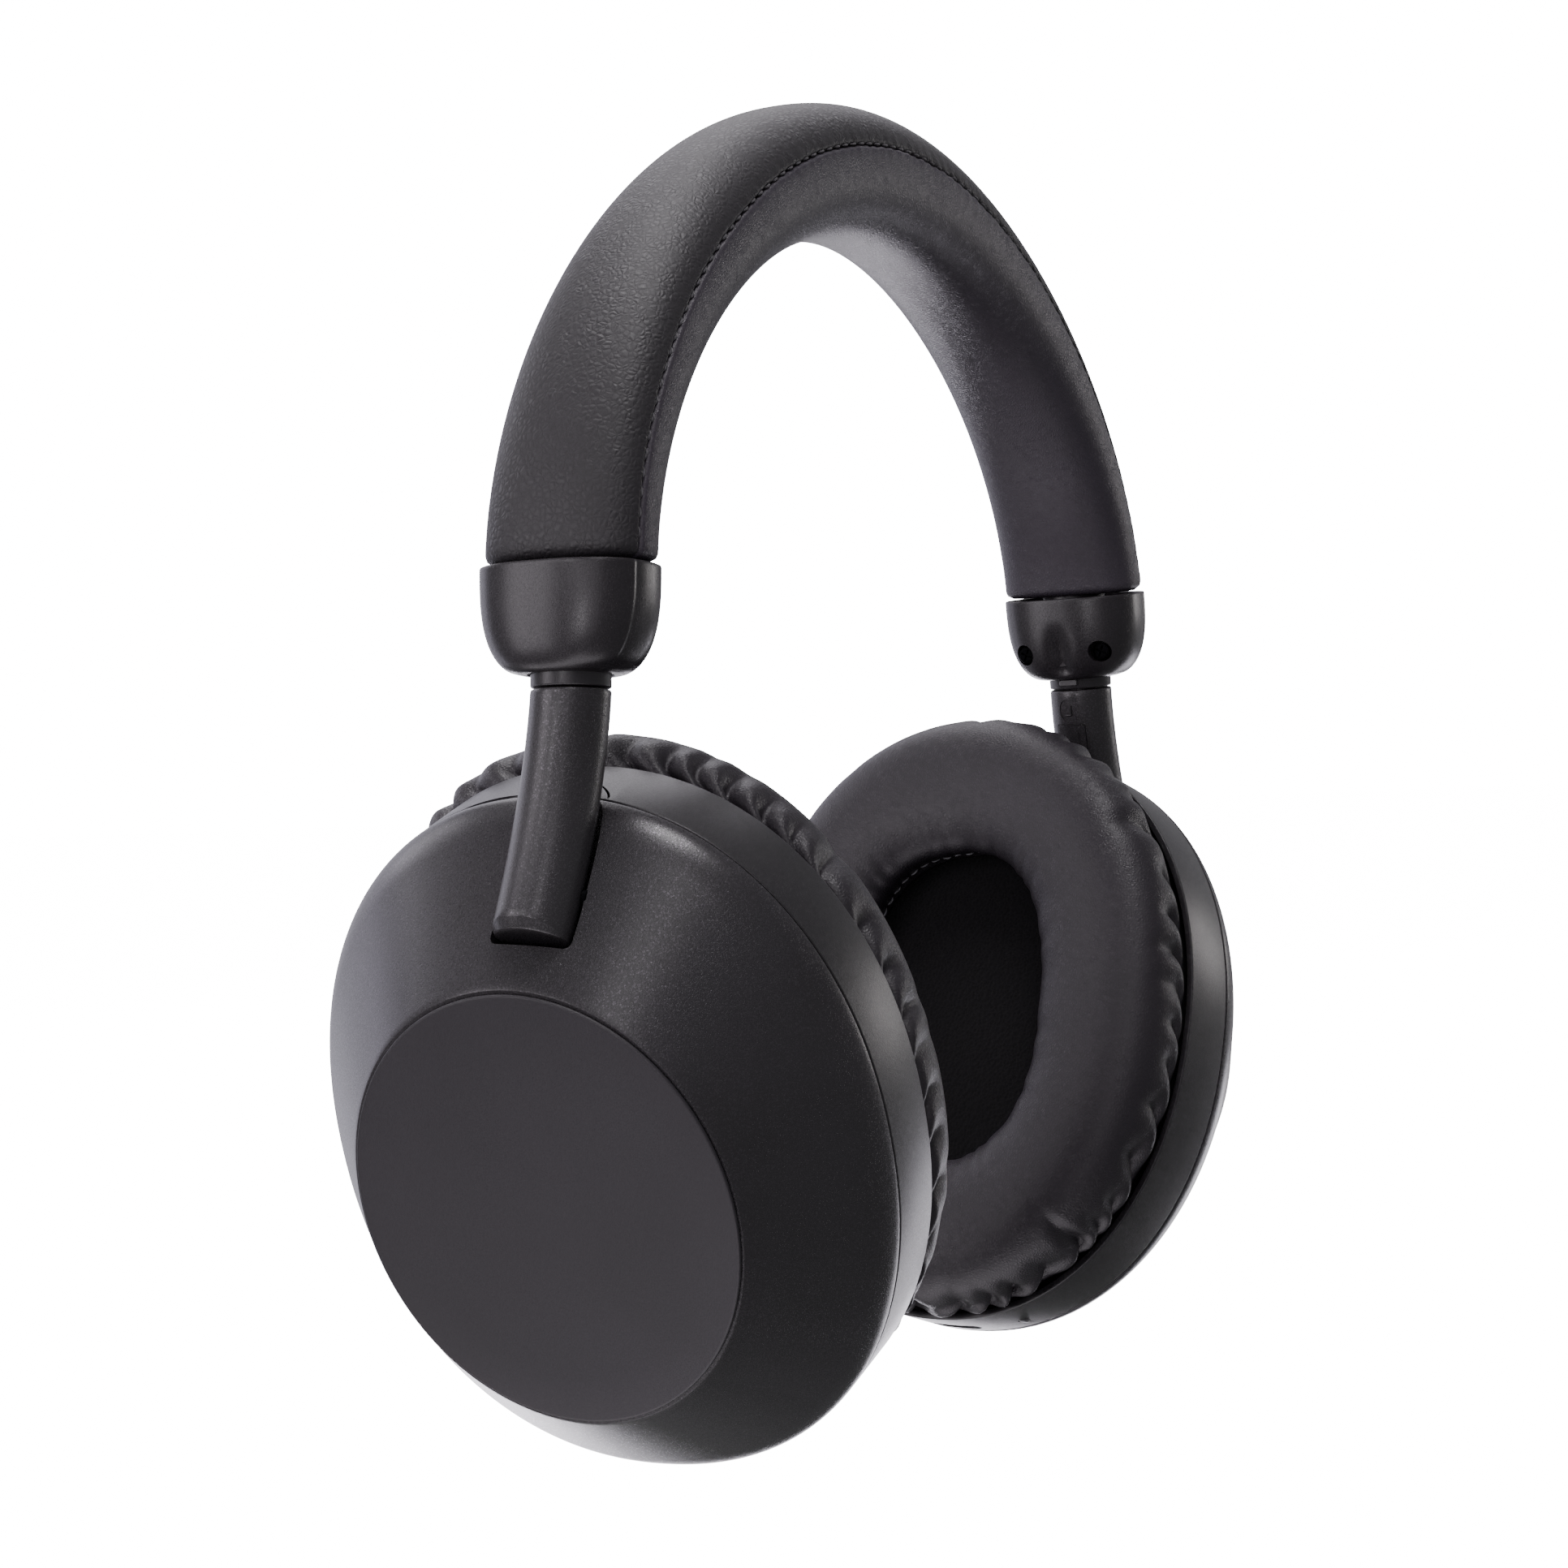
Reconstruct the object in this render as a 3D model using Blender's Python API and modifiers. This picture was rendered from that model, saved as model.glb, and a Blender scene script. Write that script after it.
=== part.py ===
"""Over-ear wireless headphones: a padded headband, two sliders, two swivel arms and two tilting ear cups.

Lengths are in millimetres in the constants and in the outline functions, and in metres in the meshes.
+Z is up, -Y is the wearer's front and +X the wearer's left. The origin is on the underside of the
headband at its top, where it rests on the head. Each side is built once in its own mirrored frame.
"""
import math

import bmesh
import bpy
import numpy as np
from mathutils import Matrix, Vector

MM = 0.001
GAP = 0.3                       # clearance between touching pieces

# Headband
BAND_HALF_SPAN = 76.8           # centre line to the middle plane at the joint line
BAND_SPLAY = math.radians(4.9)  # how far the ends still lean outwards
BAND_CURVE_POWER = 0.765        # spreads the curvature from the crown to the ends
BAND_CURVE_WAVE = 0.017         # and flattens the shoulders a little
BAND_HALF_WIDTH = (11.3, 10.2)  # at the ends, at the crown
BAND_HALF_THICK = (6.6, 9.5)
BAND_POWER = 2.4                # superellipse power of the section
SEAM_HEIGHT = 0.3               # seam between cover and pad, in half thicknesses
COVER_THICK = 1.3
SPRING_HALF_WIDTH = 8.5
SPRING_THICK = 0.8
STATIONS = 25

# Slider housing (end cap), stem and arm
HOUSING_HALF = (8.4, 11.4)      # along X and Y at the top lip
HOUSING_DEPTH = 13.2
HOUSING_WALL = 1.5
HOUSING_POWER = 2.5
HOUSING_FOOT = 5.6              # flat foot round the stem hole
SCREW_Y = 6.5
SCREW_Z = -8.8
SCREW_HOLE_R = 1.7
STEM_R = 4.95
STEM_TOP = 9.5                  # above the joint line, inside the headband
STEM_SEAM = 14.9                # seam between the collar and the arm, below the joint line
SPIGOT_R = 2.6
SPIGOT_LENGTH = 6.0
ARM_DROP = 30.5
ARM_REACH = 7.0                 # outward offset at the arm's tip
ARM_BACK = 1.1                  # rearward offset at the arm's tip
ARM_POWER = 1.6
ARM_STEPS = 18
PIVOT_ABOVE_TIP = 5.0
PIVOT_INWARD = 2.0              # the hinge pin runs through the arm's inner half
PIN_R = 1.0

# Ear cup, in its own frame: X outwards, Y rearwards, Z up, origin at the middle of the rim plane
CUP_CENTRE = (51.5, 7.7, -67.9)  # from the joint line
CUP_TILT = math.radians(18.0)
CUP_YAW = math.radians(-2.9)
LEFT_SWIVEL = math.radians(-4.6)  # the left arm rests turned a little, with its pad towards the rear
CUP_HALF = (39.0, 46.0)         # along Y and Z
CUP_POWER = 2.15
RING_DEPTH = 11.0
CUP_WALL = 1.8
FACE_U = 33.7
FACE_HALF = (25.8, 28.4)
FACE_OFFSET = (-2.4, 0.5)       # the face plate sits a little forward of and above the rim's middle
FACE_THICK = 1.4
PAD_BASE = -2.6
PAD_CROWN = -13.0
PAD_HALF = (39.2, 47.9)
PAD_OPENING = (17.9, 25.3)
DRIVER_R = 20.0
CUP_STEPS = 36

COLOURS = {
    "cover_leather": ((0.018, 0.018, 0.020), 0.50, 0.0),
    "pad_leather": ((0.024, 0.022, 0.027), 0.48, 0.0),
    "housing_plastic": ((0.035, 0.034, 0.037), 0.38, 0.0),
    "stem_plastic": ((0.032, 0.032, 0.035), 0.35, 0.0),
    "arm_plastic": ((0.035, 0.035, 0.037), 0.36, 0.1),
    "shell_plastic": ((0.034, 0.034, 0.036), 0.38, 0.1),
    "face_plastic": ((0.043, 0.040, 0.045), 0.42, 0.0),
    "inner_plastic": ((0.012, 0.012, 0.013), 0.50, 0.0),
    "ear_leather": ((0.022, 0.020, 0.025), 0.45, 0.0),
    "ear_fabric": ((0.006, 0.006, 0.007), 0.90, 0.0),
    "steel": ((0.45, 0.45, 0.46), 0.32, 1.0),
    "board": ((0.010, 0.060, 0.030), 0.50, 0.0),
    "battery_wrap": ((0.060, 0.080, 0.160), 0.45, 0.0),
}


# ---------------------------------------------------------------- scene helpers

def clear_scene():
    for obj in list(bpy.data.objects):
        bpy.data.objects.remove(obj, do_unlink=True)


def make_collection(name):
    collection = bpy.data.collections.new(name)
    bpy.context.scene.collection.children.link(collection)
    return collection


def make_materials():
    for name, (colour, roughness, metallic) in COLOURS.items():
        material = bpy.data.materials.new(name)
        material.use_nodes = True
        shader = material.node_tree.nodes["Principled BSDF"]
        shader.inputs["Base Color"].default_value = (*colour, 1.0)
        shader.inputs["Roughness"].default_value = roughness
        shader.inputs["Metallic"].default_value = metallic


def add_empty(name, parent, location, rotation=None):
    """A joint frame: location in millimetres in the parent's frame, rotation as a 3x3 matrix."""
    empty = bpy.data.objects.new(name, None)
    PARTS.objects.link(empty)
    empty.parent = parent
    matrix = Matrix.Translation(Vector(location) * MM)
    if rotation is not None:
        matrix = matrix @ rotation.to_4x4()
    empty.matrix_local = matrix
    empty.empty_display_size = 0.01
    return empty


def place(obj, material, parent=None, location=(0, 0, 0), sharp=35.0):
    """Give a finished object its material, parent and shading."""
    obj.data.materials.clear()
    obj.data.materials.append(bpy.data.materials[material])
    obj.parent = parent
    obj.location = Vector(location) * MM
    obj.data.shade_smooth()
    obj.data.set_sharp_from_angle(angle=math.radians(sharp))
    return obj


def mesh_object(name, points, faces, side=1, collection=None):
    """A mesh from points in millimetres; side -1 mirrors it in X. Faces end up pointing out."""
    mesh = bpy.data.meshes.new(name)
    mesh.from_pydata([(side * x * MM, y * MM, z * MM) for x, y, z in points], [], faces)
    work = bmesh.new()
    work.from_mesh(mesh)
    bmesh.ops.recalc_face_normals(work, faces=work.faces)
    work.to_mesh(mesh)
    work.free()
    obj = bpy.data.objects.new(name, mesh)
    (collection or PARTS).objects.link(obj)
    return obj


def loft(name, rings, side=1, loop=False, collection=None):
    """Skin a list of rings with the same number of points. loop joins the last ring to the first."""
    count = len(rings[0])
    points = [tuple(p) for ring in rings for p in ring]
    faces = []
    spans = len(rings) if loop else len(rings) - 1
    for i in range(spans):
        a = i * count
        b = ((i + 1) % len(rings)) * count
        for j in range(count):
            k = (j + 1) % count
            faces.append((a + j, a + k, b + k, b + j))
    if not loop:
        faces.append(tuple(range(count)))
        faces.append(tuple(range((len(rings) - 1) * count, len(rings) * count)))
    return mesh_object(name, points, faces, side, collection)


def cylinder(name, radius, length, centre, axis, side=1, steps=20, collection=None):
    """A closed round bar with its middle at centre, lying along axis."""
    bpy.ops.mesh.primitive_cylinder_add(vertices=steps, radius=radius * MM, depth=length * MM)
    return adopt(name, centre, axis, side, collection)


def box(name, size, centre, side=1, collection=None, axis=(0, 0, 1)):
    bpy.ops.mesh.primitive_cube_add(size=1.0)
    bpy.context.object.scale = Vector(size) * MM
    bpy.ops.object.transform_apply(location=False, rotation=False, scale=True)
    return adopt(name, centre, axis, side, collection)


def adopt(name, centre, axis, side, collection):
    """Name a new primitive, turn its Z to axis, move it to centre and apply both to the mesh."""
    obj = bpy.context.object
    obj.name = name
    obj.data.name = name
    turn = Vector((side * axis[0], axis[1], axis[2])).to_track_quat("Z", "Y").to_matrix().to_4x4()
    move = Matrix.Translation(Vector((side * centre[0], centre[1], centre[2])) * MM)
    obj.matrix_world = Matrix.Identity(4)
    obj.data.transform(move @ turn)
    for old in list(obj.users_collection):
        old.objects.unlink(obj)
    (collection or PARTS).objects.link(obj)
    return obj


def turned(name, profile, side=1, steps=24):
    """A turned piece: a closed profile of (radius, u) points round the cup frame's X axis."""
    mesh = bpy.data.meshes.new(name)
    count = len(profile)
    edges = [(i, i + 1) for i in range(count - 1)]
    mesh.from_pydata([(r * MM, 0, u * MM) for r, u in profile], edges, [])
    obj = bpy.data.objects.new(name, mesh)
    PARTS.objects.link(obj)
    screw = obj.modifiers.new("turn", "SCREW")
    screw.steps = steps
    screw.render_steps = steps
    screw.use_merge_vertices = True
    screw.merge_threshold = 0.00001
    bpy.context.view_layer.update()
    evaluated = obj.evaluated_get(bpy.context.evaluated_depsgraph_get())
    baked = bpy.data.meshes.new_from_object(evaluated)
    obj.modifiers.clear()
    obj.data = baked
    obj.data.name = name
    baked.transform(Matrix.Rotation(side * math.pi / 2, 4, "Y"))
    work = bmesh.new()
    work.from_mesh(baked)
    bmesh.ops.recalc_face_normals(work, faces=work.faces)
    work.to_mesh(baked)
    work.free()
    return obj


def cut(obj, cutters):
    """Subtract each cutter and leave the cutters, hidden, in their own collection."""
    for cutter in cutters:
        cutter.hide_render = True
        cutter.display_type = "WIRE"
        modifier = obj.modifiers.new("cut_" + cutter.name, "BOOLEAN")
        modifier.operation = "DIFFERENCE"
        modifier.solver = "EXACT"
        modifier.object = cutter


# ---------------------------------------------------------------- outlines

def superellipse(half_a, half_b, power, steps):
    """Points of a rounded oval, as (a, b) pairs."""
    points = []
    for i in range(steps):
        t = 2 * math.pi * i / steps
        c, s = math.cos(t), math.sin(t)
        points.append((math.copysign(abs(c) ** (2 / power), c) * half_a,
                       math.copysign(abs(s) ** (2 / power), s) * half_b))
    return points


def cup_oval(half, u, power=CUP_POWER, offset=(0, 0), steps=CUP_STEPS):
    """An oval ring in the cup frame at distance u outside the rim plane."""
    return [(u, y + offset[0], z + offset[1]) for y, z in superellipse(half[0], half[1], power, steps)]


def headband_path():
    """Centre line of the headband from the right end to the left: points, outward normals, sine weights."""
    half = (STATIONS - 1) // 2
    fine = 40
    s = np.linspace(0, 1, half * fine + 1)
    angle = (math.pi / 2 - BAND_SPLAY) * (1 - s ** BAND_CURVE_POWER - BAND_CURVE_WAVE * np.sin(2 * np.pi * s))
    step_x = (np.cos(angle[1:]) + np.cos(angle[:-1])) / 2
    step_z = (np.sin(angle[1:]) + np.sin(angle[:-1])) / 2
    x = np.concatenate([[0], np.cumsum(step_x)])
    z = np.concatenate([[0], np.cumsum(step_z)])
    scale = BAND_HALF_SPAN / x[-1]
    x = x * scale - BAND_HALF_SPAN
    z = z * scale
    pick = slice(0, None, fine)
    px = np.concatenate([x[pick], -x[pick][-2::-1]])
    pz = np.concatenate([z[pick], z[pick][-2::-1]])
    turn = np.concatenate([angle[pick], -angle[pick][-2::-1]])
    points = np.stack([px, 0 * px, pz], -1)
    normals = np.stack([-np.sin(turn), 0 * px, np.cos(turn)], -1)
    weight = np.sin(np.linspace(0, np.pi, STATIONS))
    return points, normals, weight


PATH, NORMALS, WEIGHT = headband_path()
JOINT_Z = -(PATH[:, 2].max() - BAND_HALF_THICK[1] + GAP)    # joint line, with the head rest at the origin


def band_half_sizes(i):
    w = WEIGHT[i]
    half_width = BAND_HALF_WIDTH[0] + (BAND_HALF_WIDTH[1] - BAND_HALF_WIDTH[0]) * w
    half_thick = BAND_HALF_THICK[0] + (BAND_HALF_THICK[1] - BAND_HALF_THICK[0]) * w
    return half_width, half_thick


def band_rings(section, first=0, last=STATIONS):
    """Rings of a section (list of (across, outward) for given half sizes) along the headband."""
    rings = []
    for i in range(first, last):
        half_width, half_thick = band_half_sizes(i)
        base = PATH[i] + np.array([0, 0, JOINT_Z + GAP])
        ring = [base + np.array([0, across, 0]) + NORMALS[i] * outward
                for across, outward in section(half_width, half_thick)]
        rings.append(ring)
    return rings


def band_arc(half_width, half_thick, start, end, steps):
    """Part of the headband's outline, from outward height start over or under to end."""
    points = []
    for i in range(steps + 1):
        t = start + (end - start) * i / steps
        c, s = math.cos(t), math.sin(t)
        points.append((math.copysign(abs(c) ** (2 / BAND_POWER), c) * half_width,
                       math.copysign(abs(s) ** (2 / BAND_POWER), s) * half_thick))
    return points


def seam_angle(offset, half_thick):
    level = SEAM_HEIGHT + offset / half_thick
    return math.asin(level ** (BAND_POWER / 2))


def cover_section(half_width, half_thick):
    low = seam_angle(GAP / 2, half_thick)
    outer = band_arc(half_width, half_thick, low, math.pi - low, 8)
    inner_low = seam_angle(GAP / 2, half_thick - COVER_THICK)
    inner = band_arc(half_width - COVER_THICK, half_thick - COVER_THICK,
                     math.pi - inner_low, inner_low, 6)
    level = SEAM_HEIGHT * half_thick + GAP / 2
    inner[0] = (inner[0][0], level)
    inner[-1] = (inner[-1][0], level)
    return outer + inner


def pad_section(half_width, half_thick):
    low = seam_angle(-GAP / 2, half_thick)
    return band_arc(half_width, half_thick, math.pi - low, 2 * math.pi + low, 11)


def spring_section(half_width, half_thick):
    low = SEAM_HEIGHT * half_thick + GAP
    high = low + SPRING_THICK
    half = min(SPRING_HALF_WIDTH, half_width - COVER_THICK - 1.2)
    return [(-half, low), (half, low), (half, high), (-half, high)]


def arm_point(t, inward=0.0):
    """Centre line of the arm in the stem frame: t 0 at the seam and 1 at the tip, inward shifts it in."""
    x = ARM_REACH * abs(t) ** ARM_POWER
    return np.array([x - inward, ARM_BACK * t, -STEM_SEAM - ARM_DROP * t])


def arm_direction(t):
    step = 0.01
    d = arm_point(t + step) - arm_point(t - step) if t > step else arm_point(0.02) - arm_point(0)
    return d / np.linalg.norm(d)


def arm_ring(t, radius, steps, inward=0.0, start=0.0, end=2 * math.pi, closed=True):
    """A circle, or an arc of one, square to the arm's centre line; angle 0 points outwards."""
    d = arm_direction(t)
    out = np.array([1.0, 0, 0]) - d[0] * d
    out /= np.linalg.norm(out)
    across = np.cross(d, out)
    centre = arm_point(t) - out * inward
    count = steps if closed else steps + 1
    return [centre + radius * (math.cos(a) * out + math.sin(a) * across)
            for a in (start + (end - start) * i / steps for i in range(count))]


# ---------------------------------------------------------------- headband

def make_headband():
    bores = []
    for side, label in SIDES:
        bore = cylinder("bore_" + label, STEM_R + GAP, 2 * (STEM_TOP + 0.6), (0, 0, 0), (0, 0, 1),
                        collection=CUTTERS, steps=20)
        place(bore, "steel", STEM_FRAMES[side])
        bores.append(bore)
    cover = loft("headband_cover", band_rings(cover_section))
    place(cover, "cover_leather")
    cut(cover, bores)
    pad = loft("headband_pad", band_rings(pad_section))
    place(pad, "pad_leather")
    cut(pad, bores)
    spring = loft("headband_spring", band_rings(spring_section))
    place(spring, "steel")
    cut(spring, bores)


# ---------------------------------------------------------------- slider housing, stem and arm

def housing_ring(half, z, steps=24):
    return [(x, y, z) for x, y in superellipse(half[0], half[1], HOUSING_POWER, steps)]


def bowl_half(depth, inset):
    """Half sizes of the bowl-shaped housing at a depth below its lip, less a wall inset."""
    t = min(1.0, depth / HOUSING_DEPTH)
    shrink = (1 - t ** 3.2) ** (1 / 2.2)
    return tuple(HOUSING_FOOT + (h - inset - HOUSING_FOOT) * shrink for h in HOUSING_HALF)


def make_housing(side, label):
    outer_depths = (0, 5.0, 8.5, 11.0, 12.5, HOUSING_DEPTH)
    rings = [housing_ring(bowl_half(d, 0.0), -d) for d in outer_depths]
    floor = HOUSING_DEPTH - HOUSING_WALL
    hole = (STEM_R + GAP, STEM_R + GAP)
    rings.append([(x, y, -HOUSING_DEPTH) for x, y in superellipse(*hole, 2.0, 24)])
    rings.append([(x, y, -floor) for x, y in superellipse(*hole, 2.0, 24)])
    for d in (10.9, 8.5, 5.0, 0):
        rings.append(housing_ring(bowl_half(d, HOUSING_WALL), -d))
    housing = loft("housing_" + label, rings, side, loop=True)
    place(housing, "housing_plastic", STEM_FRAMES[side])
    holes = []
    for y, end in ((-SCREW_Y, "front"), (SCREW_Y, "rear")):
        name = "screw_hole_%s_%s" % (label, end)
        hole_cutter = cylinder(name, SCREW_HOLE_R, 7.0, (-7.3, y, SCREW_Z), (1, 0, 0), side,
                               collection=CUTTERS)
        place(hole_cutter, "steel", STEM_FRAMES[side])
        holes.append(hole_cutter)
        screw = cylinder("housing_screw_%s_%s" % (label, end), SCREW_HOLE_R - GAP, 1.6,
                         (-5.2, y, SCREW_Z), (1, 0, 0), side, steps=14)
        place(screw, "steel", STEM_FRAMES[side])
    cut(housing, holes)


def make_slider_guide(side, label):
    """A sleeve inside the housing that the stem slides in."""
    inner, outer = STEM_R + GAP, STEM_R + 1.3
    low, high = -10.5, -5.2
    levels = ((outer, low), (outer, high), (inner, high), (inner, low))
    rings = [[(x, y, z) for x, y in superellipse(r, r, 2.0, 18)] for r, z in levels]
    guide = loft("slider_guide_" + label, rings, side, loop=True)
    place(guide, "inner_plastic", STEM_FRAMES[side])


def make_stem(side, label):
    low = -STEM_SEAM + GAP / 2
    levels = ((STEM_R - 0.6, STEM_TOP), (STEM_R, STEM_TOP - 0.6), (STEM_R, low),
              (SPIGOT_R, low), (SPIGOT_R, low - SPIGOT_LENGTH))
    rings = [[(x, y, z) for x, y in superellipse(r, r, 2.0, 18)] for r, z in levels]
    stem = loft("slider_stem_" + label, rings, side)
    place(stem, "stem_plastic", SLIDE_FRAMES[side])


def make_arm(side, label):
    top = -STEM_SEAM - GAP / 2
    bore = SPIGOT_R + GAP
    rings = []
    for radius, z in ((bore, top - SPIGOT_LENGTH - 0.6), (bore, top), (STEM_R - 0.3, top)):
        rings.append([(x, -y, z) for x, y in superellipse(radius, radius, 2.0, ARM_STEPS)])
    for t in (0.015, 0.16, 0.32, 0.48, 0.64, 0.8, 0.97):
        rings.append(arm_ring(t, STEM_R, ARM_STEPS))
    rings.append(arm_ring(1.0, STEM_R - 0.9, ARM_STEPS))
    arm = loft("arm_" + label, rings, side)
    place(arm, "arm_plastic", ARM_FRAMES[side], -np.array(ARM_SHIFT) * (side, 1, 1))
    pin_bore = cylinder("pin_bore_" + label, PIN_R + GAP, 14.0, PIVOT_STEM, PIN_AXIS_STEM, side, 14, CUTTERS)
    place(pin_bore, "steel", ARM_FRAMES[side], -np.array(ARM_SHIFT) * (side, 1, 1))
    panel_seat = box("panel_seat_" + label, (2.4, 5.0, 7.0), panel_centre(0.5), side, CUTTERS)
    place(panel_seat, "steel", ARM_FRAMES[side], -np.array(ARM_SHIFT) * (side, 1, 1))
    cut(arm, [pin_bore, panel_seat])
    panel = box("arm_panel_" + label, (1.0, 5.0 - 2 * GAP, 7.0 - 2 * GAP), panel_centre(0.0), side)
    place(panel, "arm_plastic", ARM_FRAMES[side], -np.array(ARM_SHIFT) * (side, 1, 1))


def panel_centre(outward):
    """The cable cover let into the inner side of the arm, below the side mark."""
    p = arm_point(0.26)
    return (p[0] - STEM_R + 0.4 - outward, p[1], p[2])


# ---------------------------------------------------------------- ear cup

def shell_corner():
    """Where the straight wall and the cone would meet, outside the rim plane."""
    return RING_DEPTH + 2.6


def shell_half(u, inset=0.0):
    """Half sizes and offset of the outer shell at distance u, less an inset."""
    corner = shell_corner()
    t = max(0.0, (u - corner) / (FACE_U - corner))
    half = tuple(c + (f - c) * t - inset for c, f in zip(CUP_HALF, FACE_HALF))
    offset = tuple(o * t for o in FACE_OFFSET)
    power = CUP_POWER + (2.0 - CUP_POWER) * t
    return half, offset, power


def shell_ring(u, inset):
    half, offset, power = shell_half(u, inset)
    return cup_oval(half, u, power, offset)


def rounded_shoulder(inset):
    """Rings of the shell's rounded shoulder: a quadratic curve between the wall and the cone."""
    start, corner, end = RING_DEPTH + GAP, shell_corner(), shell_corner() + 2.6
    rings = []
    for t in (0.0, 0.25, 0.5, 0.75, 1.0):
        weights = ((1 - t) ** 2, 2 * t * (1 - t), t ** 2)
        ends = [np.array(shell_ring(u, inset)) for u in (start, corner, end)]
        rings.append(sum(w * ring for w, ring in zip(weights, ends)))
    return rings


def make_shell(side, label):
    top = FACE_U - FACE_THICK - GAP
    rings = rounded_shoulder(0.0)
    for u in (22.0, top):
        rings.append(np.array(shell_ring(u, 0.0)))
    rings.append(np.array(shell_ring(top, 4.0)))
    rings.append(np.array(shell_ring(top - CUP_WALL, 4.0)))
    for u in (22.0 - CUP_WALL,):
        rings.append(np.array(shell_ring(u, CUP_WALL + 0.3)))
    inner = rounded_shoulder(CUP_WALL)
    for ring in (inner[3], inner[0]):
        rings.append(ring)
    shell = loft("outer_shell_" + label, rings, side, loop=True)
    place(shell, "shell_plastic", TILT_FRAMES[side], cup_shift(side))
    cut(shell, [channel_cutter(side, label)])


def to_cup(points):
    """Points from the stem frame (side-neutral) to the cup frame."""
    return [tuple(STEM_TO_CUP @ Vector(p)) for p in points]


def channel_inward(t):
    """How much deeper than the arm the channel is, so that the tip can swing in as the cup tilts."""
    below = (t - PIVOT_T) * ARM_DROP
    return 0.1 + max(0.0, below * 0.34)


def channel_cutter(side, label):
    rings = []
    for t, radius in ((0.22, 5.5), (0.4, 5.7), (0.55, 6.9), (0.7, 6.9), (0.85, 6.9), (1.03, 6.9)):
        rings.append(to_cup(arm_ring(t, radius, 20, channel_inward(t))))
    cutter = loft("channel_" + label, rings, side, collection=CUTTERS)
    return place(cutter, "steel", TILT_FRAMES[side], cup_shift(side))


def make_arm_channel(side, label):
    """The trough in the cup that holds the hinge pin, under and beside the arm's lower half."""
    inner, outer = 5.5, 6.6
    rings = []
    for t in (0.6, 0.7, 0.8, PIVOT_T, 0.93, 1.01):
        inward = channel_inward(t)
        arc = arm_ring(t, outer, 8, inward, math.pi / 2, 3 * math.pi / 2, closed=False)
        back = arm_ring(t, inner, 8, inward, 3 * math.pi / 2, math.pi / 2, closed=False)
        rings.append(to_cup(arc + back))
    trough = loft("arm_channel_" + label, rings, side)
    place(trough, "inner_plastic", TILT_FRAMES[side], cup_shift(side))
    hole = cylinder("channel_pin_hole_" + label, PIN_R + GAP / 2, 20.0, PIVOT_CUP, (0, 1, 0), side, 14,
                    CUTTERS)
    place(hole, "steel", TILT_FRAMES[side], cup_shift(side))
    cut(trough, [hole])
    pin = cylinder("hinge_pin_" + label, PIN_R, 12.0, PIVOT_CUP, (0, 1, 0), side, 14)
    place(pin, "steel", TILT_FRAMES[side], cup_shift(side))


def make_face_plate(side, label):
    low, edge = FACE_U - FACE_THICK, 0.25
    levels = ((0.0, low), (0.0, FACE_U - edge), (edge, FACE_U))
    rings = [cup_oval(tuple(h - inset for h in FACE_HALF), u, 2.0, FACE_OFFSET) for inset, u in levels]
    plate = loft("face_plate_" + label, rings, side)
    place(plate, "face_plastic", TILT_FRAMES[side], cup_shift(side))


def make_rim_ring(side, label):
    wall = tuple(h - CUP_WALL for h in CUP_HALF)
    edge = tuple(h - 0.4 for h in CUP_HALF)
    levels = ((edge, 0.0), (CUP_HALF, 0.4), (CUP_HALF, RING_DEPTH), (wall, RING_DEPTH), (wall, 0.0))
    ring = loft("rim_ring_" + label, [cup_oval(h, u) for h, u in levels], side, loop=True)
    place(ring, "shell_plastic", TILT_FRAMES[side], cup_shift(side))
    return ring


def make_pad_mount(side, label):
    outer, inner = (38.2, 45.2), (31.0, 38.0)
    levels = ((outer, -2.3), (outer, -GAP), (inner, -GAP), (inner, -2.3))
    ring = loft("pad_mount_ring_" + label, [cup_oval(h, u) for h, u in levels], side, loop=True)
    place(ring, "inner_plastic", TILT_FRAMES[side], cup_shift(side))


def make_baffle(side, label):
    outer = tuple(h - CUP_WALL - GAP for h in CUP_HALF)
    hole = (17.5, 17.5)
    levels = ((outer, 0.6, CUP_POWER), (outer, 2.6, CUP_POWER), (hole, 2.6, 2.0), (hole, 0.6, 2.0))
    rings = [cup_oval(h, u, power, steps=32) for h, u, power in levels]
    plate = loft("baffle_plate_" + label, rings, side, loop=True)
    place(plate, "inner_plastic", TILT_FRAMES[side], cup_shift(side))


def make_driver(side, label):
    frame = turned("driver_frame_" + label,
                   ((15.2, 2.9), (DRIVER_R, 2.9), (DRIVER_R, 4.6), (13.0, 7.6), (11.6, 7.6),
                    (11.6, 6.4), (15.2, 4.4), (15.2, 2.9)), side)
    place(frame, "inner_plastic", TILT_FRAMES[side], cup_shift(side))
    diaphragm = turned("diaphragm_" + label,
                       ((0.0, 1.6), (5.0, 1.9), (9.0, 3.2), (14.8, 2.2), (14.8, 2.6), (9.0, 3.8),
                        (5.0, 2.5), (0.0, 2.2)), side, 20)
    place(diaphragm, "ear_fabric", TILT_FRAMES[side], cup_shift(side))
    magnet = cylinder("driver_magnet_" + label, 11.0, 4.0, (9.9, 0, 0), (1, 0, 0), side, 20)
    place(magnet, "steel", TILT_FRAMES[side], cup_shift(side))


def make_ear_mesh(side, label):
    half = (30.5, 37.5)
    rings = [cup_oval(half, u, steps=32) for u in (-1.7, -0.9)]
    mesh = loft("ear_mesh_" + label, rings, side)
    place(mesh, "ear_fabric", TILT_FRAMES[side], cup_shift(side))


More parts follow.
